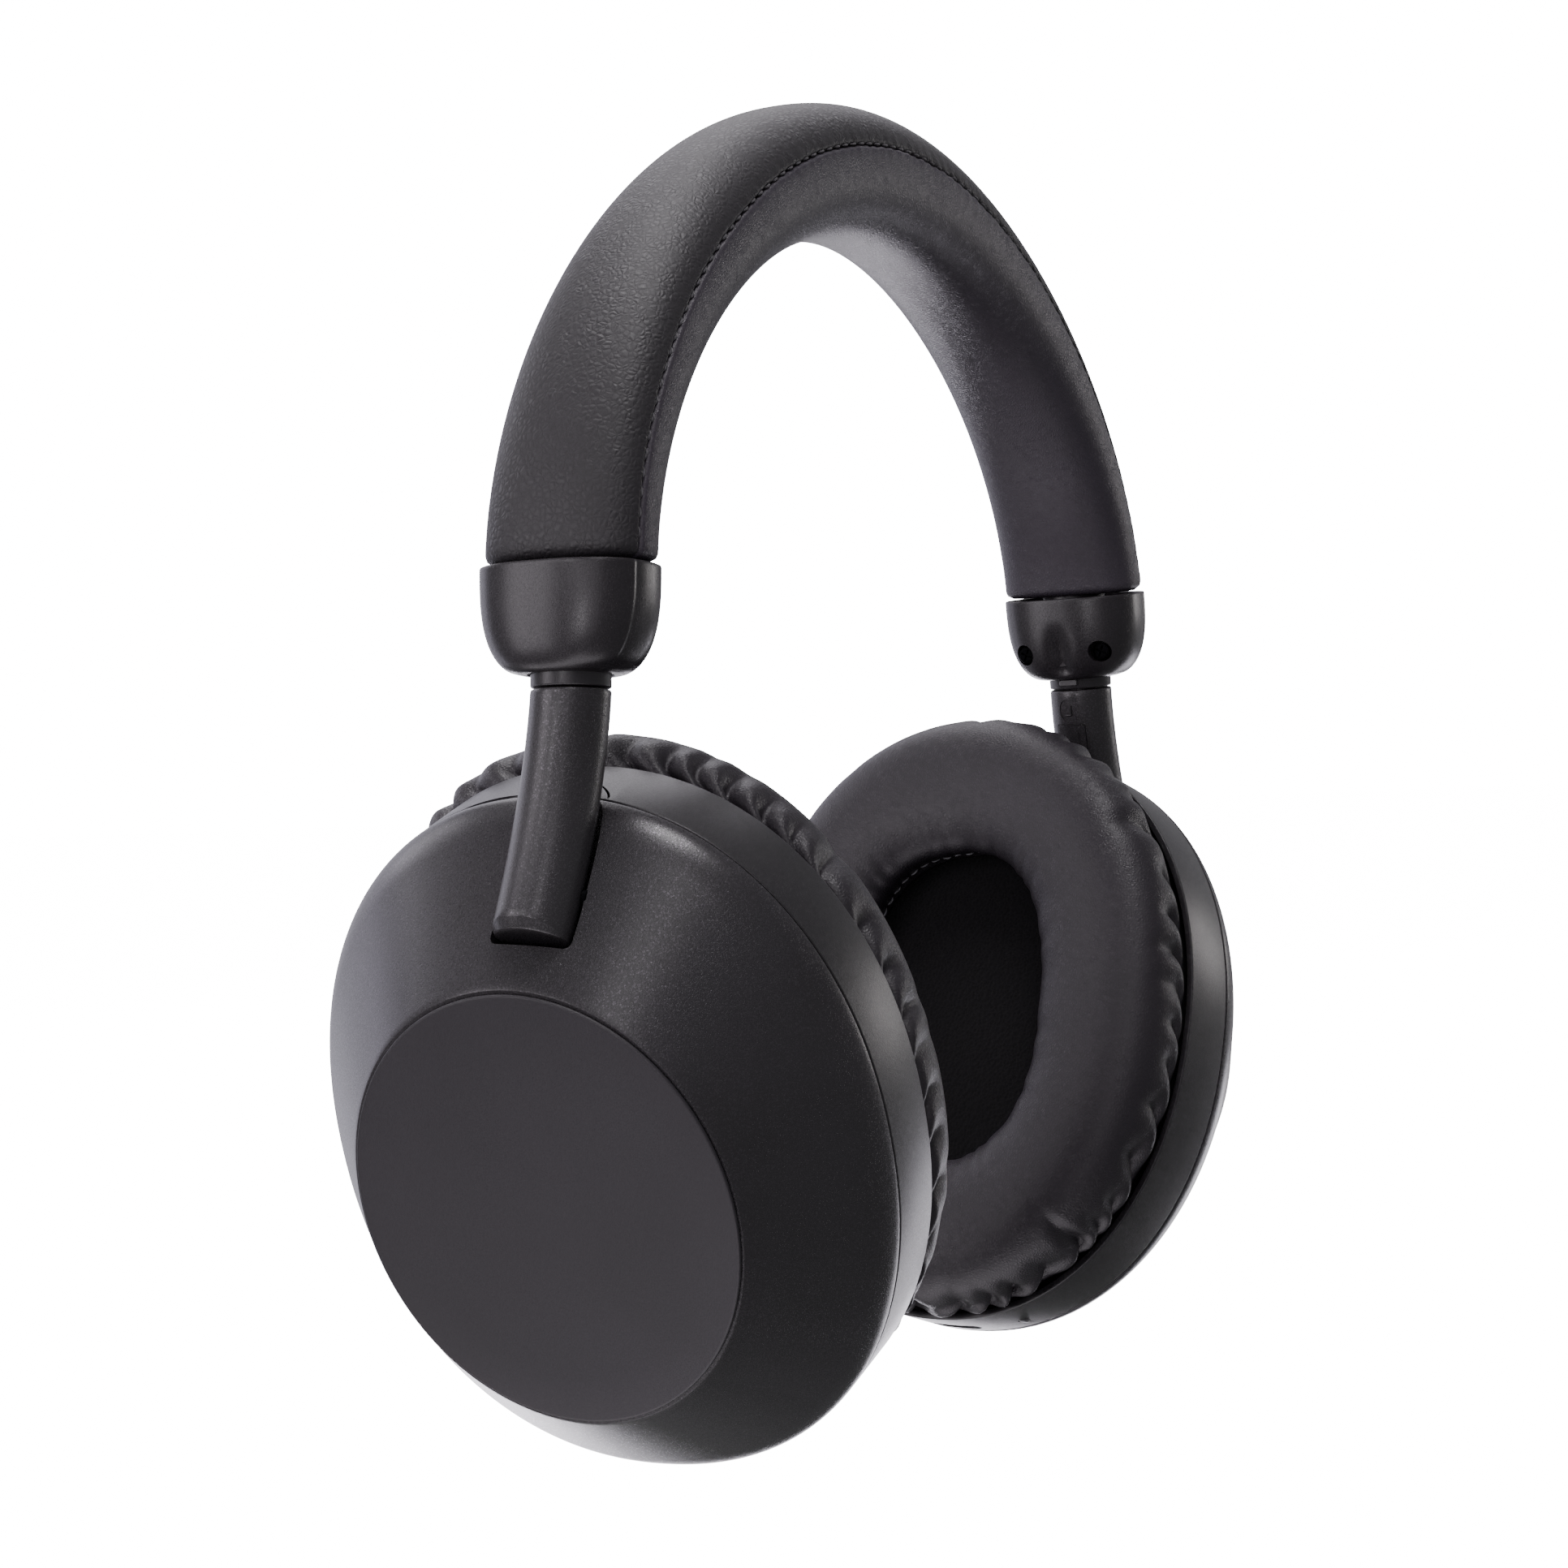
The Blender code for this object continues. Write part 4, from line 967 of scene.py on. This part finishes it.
def make_flange(side, label):
    outline = [(4.6, -0.05), (6.8, -0.05), (6.8, -1.6), (4.6, -1.6)]
    flange = ring_from_profile("pad_flange_" + label, side, rounded(outline, [0.25, 0.1, 0.1, 0.4], 4))
    finish(flange, "cup_" + label, INNER_PLASTIC, "inner_plastic", "pad_mount_ring_" + label)


def rim_place(angle, depth):
    """A point on the rim's outside and the direction out of it."""
    half = np.array(CUP_HALF)
    place = signed_power(np.array([math.cos(angle), math.sin(angle)]), 2 / CUP_POWER)
    normal = signed_power(place, CUP_POWER - 1) / half
    return np.array([depth, *(place * half)]), unit(np.array([0, *normal]))


BUTTONS = (("volume_up_button", -22.0, 2.6, "plus"), ("volume_down_button", -36.0, 2.6, "minus"),
           ("power_button", -54.0, 2.2, "dot"))
BUTTON_ROOM = 0.2
SIGN_R = 0.17


def bar(name, centre, axis, levels, side, steps=48):
    """A turned body along axis: pairs of distance and radius."""
    one, two = square_to(axis, (1.0, 0.0, 0.0))
    rings = [circle(centre + axis * h, one, two, r, steps) for h, r in levels]
    return skin(name, rings, CUP_FRAMES[side], side, sharp=50)


def cut_buttons(rim, side):
    for _, degrees, radius, _ in BUTTONS:
        centre, normal = rim_place(math.radians(degrees), RING_DEPTH / 2)
        hole = radius + BUTTON_ROOM
        boolean(rim, bar("hole", centre, normal, ((-4, hole), (4, hole)), side))


def make_buttons(side):
    for name, degrees, radius, mark in BUTTONS:
        centre, normal = rim_place(math.radians(degrees), RING_DEPTH / 2)
        levels = ((-2.6, radius), (0.25, radius), (0.42, radius - 0.06), (0.5, radius - 0.22),
                  (0.42, radius * 0.6), (0.38, radius * 0.3))
        cap = bar("cap_" + name, centre, normal, levels, side)
        finish(cap, name.replace("_button", ""), HOUSING_PLASTIC, "housing_plastic", name)
        make_mark(name, mark, centre, normal, side)


def make_mark(name, mark, centre, normal, side):
    """A small raised sign on a button: a plus, a minus or a dot."""
    along = np.cross(normal, (1.0, 0.0, 0.0))
    x = np.array([1.0, 0.0, 0.0])
    top = centre + normal * 0.40
    strokes = {"minus": (along,), "plus": (along, x), "dot": (along * 0.15,)}[mark]
    parts = [tube([top - s * 0.9, top - s * 0.3, top + s * 0.3, top + s * 0.9], SIGN_R, 8) for s in strokes]
    points, faces = gather(parts)
    sign = build("sign_" + name, points, faces, CUP_FRAMES[side], side)
    finish(sign, name.replace("_button", ""), STEM_PLASTIC, "stem_plastic")


PORT_U = RING_DEPTH / 2 + 2.0


def slot_outline(width, height):
    """A stadium outline, width along Y and height along X."""
    r = height / 2
    turns = np.linspace(0, np.pi, 8), np.linspace(np.pi, 2 * np.pi, 8)
    return [(r * math.cos(a), end + r * math.sin(a))
            for end, turn in zip((width / 2 - r, -width / 2 + r), turns) for a in turn]


def stadium(name, side, levels):
    """A body with a stadium outline at the cup's lowest point: width, height and level above that point."""
    rings = [[(PORT_U + x, y, up - CUP_HALF[1]) for x, y in slot_outline(width, height)]
             for width, height, up in levels]
    return skin(name, rings, CUP_FRAMES[side], side)


def lamp_bar(name, side, up, direction, levels, steps):
    centre = np.array([PORT_U, LAMP_Y, up - CUP_HALF[1]])
    return bar(name, centre, np.array([0, 0, direction]), levels, side, steps)


def cut_port(rim, side):
    boolean(rim, stadium("port_hole", side, ((*PORT_HOLE, -3), (*PORT_HOLE, 4))))
    lamp_levels = ((-4, LAMP_HOLE_R), (4, LAMP_HOLE_R))
    boolean(rim, lamp_bar("lamp_hole", side, 1.0, 1.0, lamp_levels, 48))


def make_port(side):
    """The socket's metal sleeve, its tongue, and the lamp's window."""
    sleeve = stadium("port_sleeve", side, ((8.4, 2.8, 6.0), (8.4, 2.8, 0.35), (8.2, 2.6, 0.25),
                                           (7.8, 2.2, 0.3), (7.8, 2.2, 5.6)))
    finish(sleeve, "cup_left", STEEL, "steel", "charge_port")
    tongue = stadium("port_tongue", side, ((6.2, 0.7, 5.5), (6.2, 0.7, 1.0), (6.0, 0.5, 0.9)))
    finish(tongue, "cup_left", INNER_PLASTIC, "inner_plastic")
    window = lamp_bar("lamp_window", side, 2.0, -1.0, ((-2.0, 0.8), (0.35, 0.8), (0.5, 0.6)), 24)
    finish(window, "cup_left", LAMP, "inner_plastic", "status_lamp")


# where each slit starts and ends across the cup, and whether it curves down into the rim
SLITS = ((3.0, 11.0, 0.0), (-9.1, -5.3, 1.0))
SLIT_DROP = 4.7
SLIT_HALF = 0.42


def cut_slits(rim, side):
    """Two thin cuts in the rim beside the arm: one along the seam behind it, one curved in front of it."""
    for y0, y1, curve in SLITS:
        rings = []
        for t in np.linspace(0, 1, 16):
            y = y0 + (y1 - y0) * t ** (1 + 0.6 * curve)
            u = RING_DEPTH - 0.1 - 0.35 - curve * SLIT_DROP * t
            thin = (SLIT_HALF - 0.2 * curve) * math.sin(math.pi * min(0.98, max(0.02, t))) ** 0.4
            z = CUP_HALF[1] * (1 - (abs(y) / CUP_HALF[0]) ** CUP_POWER) ** (1 / CUP_POWER)
            du, dy = (0, thin) if curve else (thin, 0)
            corners = ((-1, 0.6), (1, 0.6), (1, -0.9), (-1, -0.9))
            rings.append([(u + k * du, y + k * dy, z + up) for k, up in corners])
        boolean(rim, skin("slit", rings, CUP_FRAMES[side], side))


# ---------------------------------------------------------------- ear pads

def pad_outline():
    """The cushion's section from its foot, over the crown, to the opening: (across, u), evenly spaced."""
    key = np.array([
        (0.72, 0.4), (0.84, 0.2), (0.88, -0.5), (0.94, -1.3), (0.985, -2.6), (1.0, -4.4), (0.985, -6.6),
        (0.93, -8.8), (0.80, -10.8), (0.60, -12.2), (0.34, -13.0), (0.05, -13.2), (-0.30, -13.0),
        (-0.64, -12.3), (-0.90, -11.0), (-1.04, -9.0), (-1.04, -7.0), (-0.95, -4.6), (-0.86, -2.6)])
    half_breadth = 10.6
    steps = np.linalg.norm(np.diff(key, axis=0) * (half_breadth, 1.0), axis=1)
    steps = np.concatenate([[0], np.cumsum(steps)])
    places = np.linspace(0, steps[-1], 81)
    smooth = np.stack([np.interp(places, steps, column) for column in key.T], -1)
    for _ in range(8):
        smooth[1:-1] = (smooth[:-2] + 2 * smooth[1:-1] + smooth[2:]) / 4
    return smooth, places


def pad_rings():
    """The plain cushion before it is filled, in the cup frame."""
    opening = [a - b for a, b in zip(PAD_OPENING, OPENING_SHRINK)]
    mid = [(a + b) / 2 for a, b in zip(PAD_HALF, opening)]
    rings = []
    for (across, u), place in zip(*pad_outline()):
        grip = 1 - float(smoothstep(1.0, 5.0, place))
        half = [(1 - grip) * (m + across * (h - m)) + grip * (c - FOOT_INSET + (across - 0.84) * (h - m))
                for m, h, c in zip(mid, PAD_HALF, CUP_HALF)]
        inner = (1 - across) / 2
        ring = np.array(oval(half, u, 2.1 + 0.35 * inner, [a * inner for a in OPENING_SHIFT], PAD_COARSE))
        turn = PAD_TURN * (1 - grip)
        y, z = ring[:, 1].copy(), ring[:, 2].copy()
        ring[:, 1] = y * math.cos(turn) + z * math.sin(turn)
        ring[:, 2] = z * math.cos(turn) - y * math.sin(turn)
        rings.append(ring)
    return np.array(rings)


def seated(rings, side):
    """The cushion of one side, pushed a little off the middle of its foot."""
    moved = rings.copy()
    soft = smoothstep(0.8, 5.0, -rings[..., 0])
    moved[..., 1] += PAD_SEAT[side][0] * soft
    moved[..., 2] += PAD_SEAT[side][1] * soft
    return moved


def refine(rings, count):
    """The same rings with more points round."""
    old = np.linspace(0, 1, rings.shape[1] + 1)
    new = np.linspace(0, 1, count, endpoint=False)
    closed = np.concatenate([rings, rings[:, :1]], axis=1)
    return np.stack([[np.interp(new, old, ring[:, k]) for ring in closed] for k in range(3)], -1)


def grid_normals(rings):
    """Outward normals of a grid of points whose columns run round."""
    around = np.roll(rings, -1, axis=1) - np.roll(rings, 1, axis=1)
    along = np.gradient(rings, axis=0)
    normals = np.cross(along, around)
    normals /= np.linalg.norm(normals, axis=2)[..., None]
    crown = rings[:, :, 0].mean(1).argmin()
    return normals if normals[crown, 0, 0] < 0 else -normals


def circle_noise(angle, scale, seed):
    return np.array([noise.noise(Vector((math.cos(a) * scale, math.sin(a) * scale, seed))) for a in angle])


def pleat_depth(seed):
    """How far the gathers sink the leather, for each row and column: sharp valleys between round ridges."""
    random = np.random.default_rng(seed)
    strength = random.uniform(0.5, 1.15, PAD_PLEATS)
    reach = random.uniform(7.5, 12.5, PAD_PLEATS)
    long = random.choice(PAD_PLEATS, LONG_CREASES, replace=False)
    reach[long] = random.uniform(15.0, 21.0, LONG_CREASES)
    angle = angles(PAD_FINE)[None, :]
    place = pad_outline()[1][:, None]
    wander = circle_noise(angle[0], 2.6, seed)[None, :]
    slant = circle_noise(angle[0], 1.7, seed + 9)[None, :] * 0.16 * place
    phase = PAD_PLEATS * angle / 2 + 2.6 * wander + slant
    valley = np.round(phase / np.pi).astype(int) % PAD_PLEATS
    run = np.clip((place - WALL_START) / reach[valley], 0, 1)
    shape = 1 - np.abs(np.sin(phase)) ** (0.6 + 0.9 * run)
    rise = smoothstep(0.0, 1.4, place - WALL_START + 0.8)
    fade = rise * (0.5 + 0.5 * np.cos(np.pi * run)) ** 1.1
    fine = 0.06 * np.sin(3 * phase + 4 * wander) * rise * (1 - smoothstep(3.0, 8.0, place))
    return PLEAT_DEPTH * strength[valley] * shape * fade + fine


def opening_waves(seed):
    """Faint soft waves of the leather where it turns into the opening."""
    angle = angles(PAD_FINE)[None, :]
    place = pad_outline()[1][:, None]
    near = smoothstep(place[-1] - 15.0, place[-1] - 8.0, place)
    drift = circle_noise(angle[0], 3.0, seed)[None, :]
    return near * (0.09 * np.sin(31 * angle + 5 * drift) + 0.2 * drift)


def gathered(filled):
    """The filled cushion with its gathers, on a finer grid."""
    rings = refine(filled, PAD_FINE)
    sink = pleat_depth(4) + opening_waves(11)
    sink[-3:] = 0
    return rings - grid_normals(rings) * sink[..., None]


def fill_pad(rings):
    """Fill the cushion by cloth simulation: its outer foot and the foot of the opening are sewn down."""
    rows, columns = rings.shape[:2]
    obj = build("pad_fill", rings.reshape(-1, 3), grid_faces(rows, columns, False, False), sharp=None)
    # an open sheet has no inside, so its faces are turned to point out of the cushion
    if obj.data.polygons[(rows // 2) * columns].normal.x > 0:
        obj.data.flip_normals()
    pins = obj.vertex_groups.new(name="sewn")
    for i in list(range(0, 2)) + list(range(rows - 3, rows)):
        pins.add(list(range(i * columns, (i + 1) * columns)), 1.0, "REPLACE")
    cloth = obj.modifiers.new("fill", "CLOTH")
    settings = cloth.settings
    settings.quality = 6
    settings.mass = 0.3
    settings.tension_stiffness = 25
    settings.compression_stiffness = 25
    settings.shear_stiffness = 15
    settings.bending_stiffness = 0.4
    settings.use_pressure = True
    settings.uniform_pressure_force = PAD_PRESSURE
    settings.vertex_group_mass = "sewn"
    settings.effector_weights.gravity = 0
    cloth.collision_settings.use_collision = False
    scene = bpy.context.scene
    for step in range(1, PAD_SIM_FRAMES + 1):
        scene.frame_set(step)
    evaluated = obj.evaluated_get(bpy.context.evaluated_depsgraph_get())
    filled = np.empty(rows * columns * 3)
    evaluated.data.vertices.foreach_get("co", filled)
    filled = filled.reshape(-1, 3) / MM
    scene.frame_set(1)
    start = rings.reshape(-1, 3)
    move = filled - start
    far = np.linalg.norm(move, axis=1)
    move *= (np.minimum(far, PAD_MOVE_CAP) / np.maximum(far, 1e-9))[:, None]
    bpy.data.objects.remove(obj)
    return (start + move).reshape(rows, columns, 3)


def close_pad(rings):
    """Add the flat back, so that the cushion is one closed body."""
    outer, inner = rings[0], rings[-1]
    back = []
    for t, u in ((0.4, -2.3), (0.92, -1.9)):
        row = inner + (outer - inner) * t
        row[:, 0] = u
        back.append(row)
    return np.concatenate([rings, np.array(back)])


def make_ear_pads():
    plain = pad_rings()
    filled = gathered(fill_pad(plain))
    for side, label in SIDES:
        cushion = seated(filled, side)
        pad = skin("ear_cushion_" + label, close_pad(cushion), CUP_FRAMES[side], side, loop=True, sharp=None)
        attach(pad, "cup_" + label)
        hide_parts("ear_pad_" + label)
        paint(pad, EAR_LEATHER)
        make_opening_stitches(side, label, cushion)
        make_ear_cloth(side, label)


def make_opening_stitches(side, label, cushion):
    """A row of pale stitches round the inside of the opening."""
    row = cushion[-5]
    centre = row.mean(0)
    closed = np.vstack([row, row[:1]])
    along = distances(closed)
    count = int(along[-1] / OPENING_STITCH)
    parts = []
    for i in range(count):
        places = (i + np.linspace(0, 0.72, 5)) * along[-1] / count
        points = sample(closed, along, places)
        inward = centre - points
        inward[:, 0] = 0
        inward /= np.linalg.norm(inward, axis=1)[:, None]
        points = points + inward * (0.03 + 0.14 * np.sin(np.linspace(0, np.pi, 5)))[:, None]
        parts.append(tube(points, OPENING_THREAD_R, 6))
    points, faces = gather(parts)
    stitches = build("ear_stitches_" + label, points, faces, CUP_FRAMES[side], side, sharp=None)
    finish(stitches, "cup_" + label, GREY_THREAD, "ear_leather")


def make_ear_cloth(side, label):
    """The black cloth over the driver, darkened further with painted shade: slightly domed over the grille,
    with a soft edge under the cushion.
    """
    rings = [oval(CLOTH_HALF, u, steps=96) for u in CLOTH_LEVELS]
    for k in np.linspace(0.9, 0.08, 12):
        dome = CLOTH_LEVELS[1] - CLOTH_DOME * (1 - k ** 2) ** 1.2
        rings.append(oval([h * k for h in CLOTH_HALF], dome, steps=96))
    cloth = skin("ear_cloth_" + label, rings, CUP_FRAMES[side], side, sharp=60)
    finish(cloth, "cup_" + label, EAR_FABRIC, "ear_fabric", "ear_mesh_" + label)


# ---------------------------------------------------------------- hidden pieces

def paint_inner_pieces():
    """The CAD pieces inside keep their shape and get a finished material."""
    looks = {"headband_spring": STEEL, "battery": WRAP, "circuit_board": BOARD}
    for _, label in SIDES:
        for name in ("slider_guide_", "baffle_plate_", "driver_frame_"):
            looks[name + label] = INNER_PLASTIC
        looks.update({"diaphragm_" + label: CONE_FILM, "driver_magnet_" + label: STEEL})
    for name, material in looks.items():
        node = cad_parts[name]
        node.data.materials.clear()
        node.data.materials.append(material)


# ---------------------------------------------------------------- stage, lights and camera

FLOOR_DROP = 0.020              # room below the cups for the sliders' travel, in metres
FLOOR_SIZE = 12.0
FLOOR_GLOW = 16.0
BACKDROP_GLOW = 17.0
ROOM_LIGHT = 0.22
# name, place along the camera's right, up and back, width and height, radiance, colour
SOFT_BOXES = (
    ("overhead", (0.10, 0.86, 0.20), (0.26, 0.24), 17.0, (1.0, 0.97, 1.0)),
    ("crown", (-0.18, 0.85, -0.14), (0.40, 0.30), 9.0, (1.0, 0.97, 1.0)),
    ("front_top", (0.02, 0.65, 0.74), (0.26, 0.28), 3.2, (1.0, 0.97, 1.0)),
    ("pad_sheen", (-0.54, 0.40, 0.73), (0.24, 0.28), 3.5, (1.0, 0.96, 1.0)),
    ("top_back", (0.0, 0.75, -0.80), (0.90, 0.40), 2.6, (0.97, 0.94, 1.0)),
    ("band_left", (-0.80, 0.50, -0.46), (0.35, 0.40), 2.7, (0.97, 0.94, 1.0)),
    ("key_left", (-0.34, -0.05, 0.90), (0.15, 0.18), 9.0, (1.0, 0.96, 1.0)),
    ("left_front", (-0.90, 0.10, 0.42), (0.45, 0.9), 3.4, (1.0, 0.94, 1.0)),
    ("left_edge", (-0.85, -0.05, -0.60), (0.26, 1.1), 1.7, (0.88, 0.84, 1.0)),
    ("right_edge", (0.85, 0.10, -0.75), (0.30, 1.1), 0.2, (0.97, 0.93, 1.0)),
    ("right_spot", (0.84, 0.14, -0.55), (0.13, 0.20), 9.0, (1.0, 0.96, 0.95)),
    ("crown_under", (0.56, -0.35, -0.80), (0.34, 0.40), 4.0, (0.95, 0.92, 1.0)),
    ("back_left", (-0.55, 0.1, -1.1), (0.8, 1.2), 1.1, (0.88, 0.85, 1.0)),
    ("back_right", (0.55, 0.1, -1.1), (0.8, 1.2), 0.2, (0.93, 0.90, 1.0)),
    ("back_low", (0.0, -0.42, -1.02), (0.7, 0.36), 7.0, (0.95, 0.91, 1.0)),
    ("front_fill", (-0.30, 0.10, 1.05), (0.8, 0.9), 0.75, (1.0, 0.93, 1.0)),
    ("floor_bounce", (-0.2, -0.85, 0.15), (1.1, 0.9), 2.1, (1.0, 0.94, 1.0)),
)


def make_stage():
    """A pale floor that catches a faint shadow and looks as bright as the backdrop."""
    bpy.ops.mesh.primitive_plane_add(size=FLOOR_SIZE, location=(0, 0, CAD_BOX[0][2] - FLOOR_DROP))
    floor = bpy.context.object
    floor.name = "floor"
    n = Nodes("pale_floor", 0.7, Emission_Color=(1.0, 1.0, 1.0, 1.0), Emission_Strength=FLOOR_GLOW)
    n.set("Base Color", n.mix(n.noise(3.0), (0.86, 0.86, 0.87), (0.90, 0.90, 0.90)))
    paint(floor, n.material)
    floor.visible_diffuse = False
    floor.visible_glossy = False


def add_light(name, place, size, energy, colour):
    data = bpy.data.lights.new(name, "AREA")
    data.shape = "RECTANGLE"
    data.size, data.size_y = size
    data.energy = energy
    data.color = colour
    light = bpy.data.objects.new(name, data)
    light.location = place
    light.rotation_euler = (CAMERA_TARGET - place).to_track_quat("-Z", "Y").to_euler()
    bpy.context.scene.collection.objects.link(light)


CAMERA_AZIMUTH = math.radians(-61.6)
CAMERA_ELEVATION = math.radians(0.4)
CAMERA_ROLL = math.radians(-2.5)
CAMERA_DISTANCE = 0.4525
CAMERA_TARGET = Vector((-0.0217, 0.0017, -0.0278 + JOINT_Z * MM))
CAMERA_LENS = 76.08
CAMERA_SENSOR = 36.0


def camera_axes():
    az, el, roll = CAMERA_AZIMUTH, CAMERA_ELEVATION, CAMERA_ROLL
    back = Vector((math.sin(az) * math.cos(el), -math.cos(az) * math.cos(el), math.sin(el)))
    right = Vector((math.cos(az), math.sin(az), 0))
    up = back.cross(right)
    right = math.cos(roll) * right + math.sin(roll) * up
    return right, back.cross(right), back


def make_camera():
    right, up, back = camera_axes()
    data = bpy.data.cameras.new("camera")
    data.sensor_width = CAMERA_SENSOR
    data.lens = CAMERA_LENS
    data.clip_start = 0.01
    camera = bpy.data.objects.new("camera", data)
    turn = Matrix((right, up, back)).transposed().to_4x4()
    camera.matrix_world = Matrix.Translation(CAMERA_TARGET + back * CAMERA_DISTANCE) @ turn
    bpy.context.scene.collection.objects.link(camera)
    bpy.context.scene.camera = camera


def at_camera(right_m, up_m, back_m):
    """A place given along the camera's own directions from its target."""
    right, up, back = camera_axes()
    return CAMERA_TARGET + right * right_m + up * up_m + back * back_m


def make_lights():
    """Soft boxes round the camera's view, a bright backdrop and a little light from all round."""
    world = bpy.data.worlds.new("studio")
    world.use_nodes = True
    tree = world.node_tree
    background = tree.nodes["Background"]
    background.inputs["Color"].default_value = (0.97, 0.97, 1.0, 1.0)
    rays = tree.nodes.new("ShaderNodeLightPath")
    strength = tree.nodes.new("ShaderNodeMapRange")
    strength.inputs["To Min"].default_value = ROOM_LIGHT
    strength.inputs["To Max"].default_value = BACKDROP_GLOW
    tree.links.new(rays.outputs["Is Camera Ray"], strength.inputs["Value"])
    tree.links.new(strength.outputs[0], background.inputs["Strength"])
    bpy.context.scene.world = world
    for name, place, size, radiance, colour in SOFT_BOXES:
        energy = radiance * math.pi * size[0] * size[1]
        add_light(name, at_camera(*place), size, energy, colour)


make_headband()
for SIDE, LABEL in SIDES:
    make_housing(SIDE, LABEL)
    make_stem(SIDE, LABEL)
    make_arm(SIDE, LABEL)
    make_hinge_pin(SIDE, LABEL)
    make_shell(SIDE, LABEL)
    make_face_plate(SIDE, LABEL)
    make_rim(SIDE, LABEL)
    make_flange(SIDE, LABEL)
make_buttons(-1)
make_port(1)
make_ear_pads()
paint_inner_pieces()
make_stage()
make_camera()
make_lights()
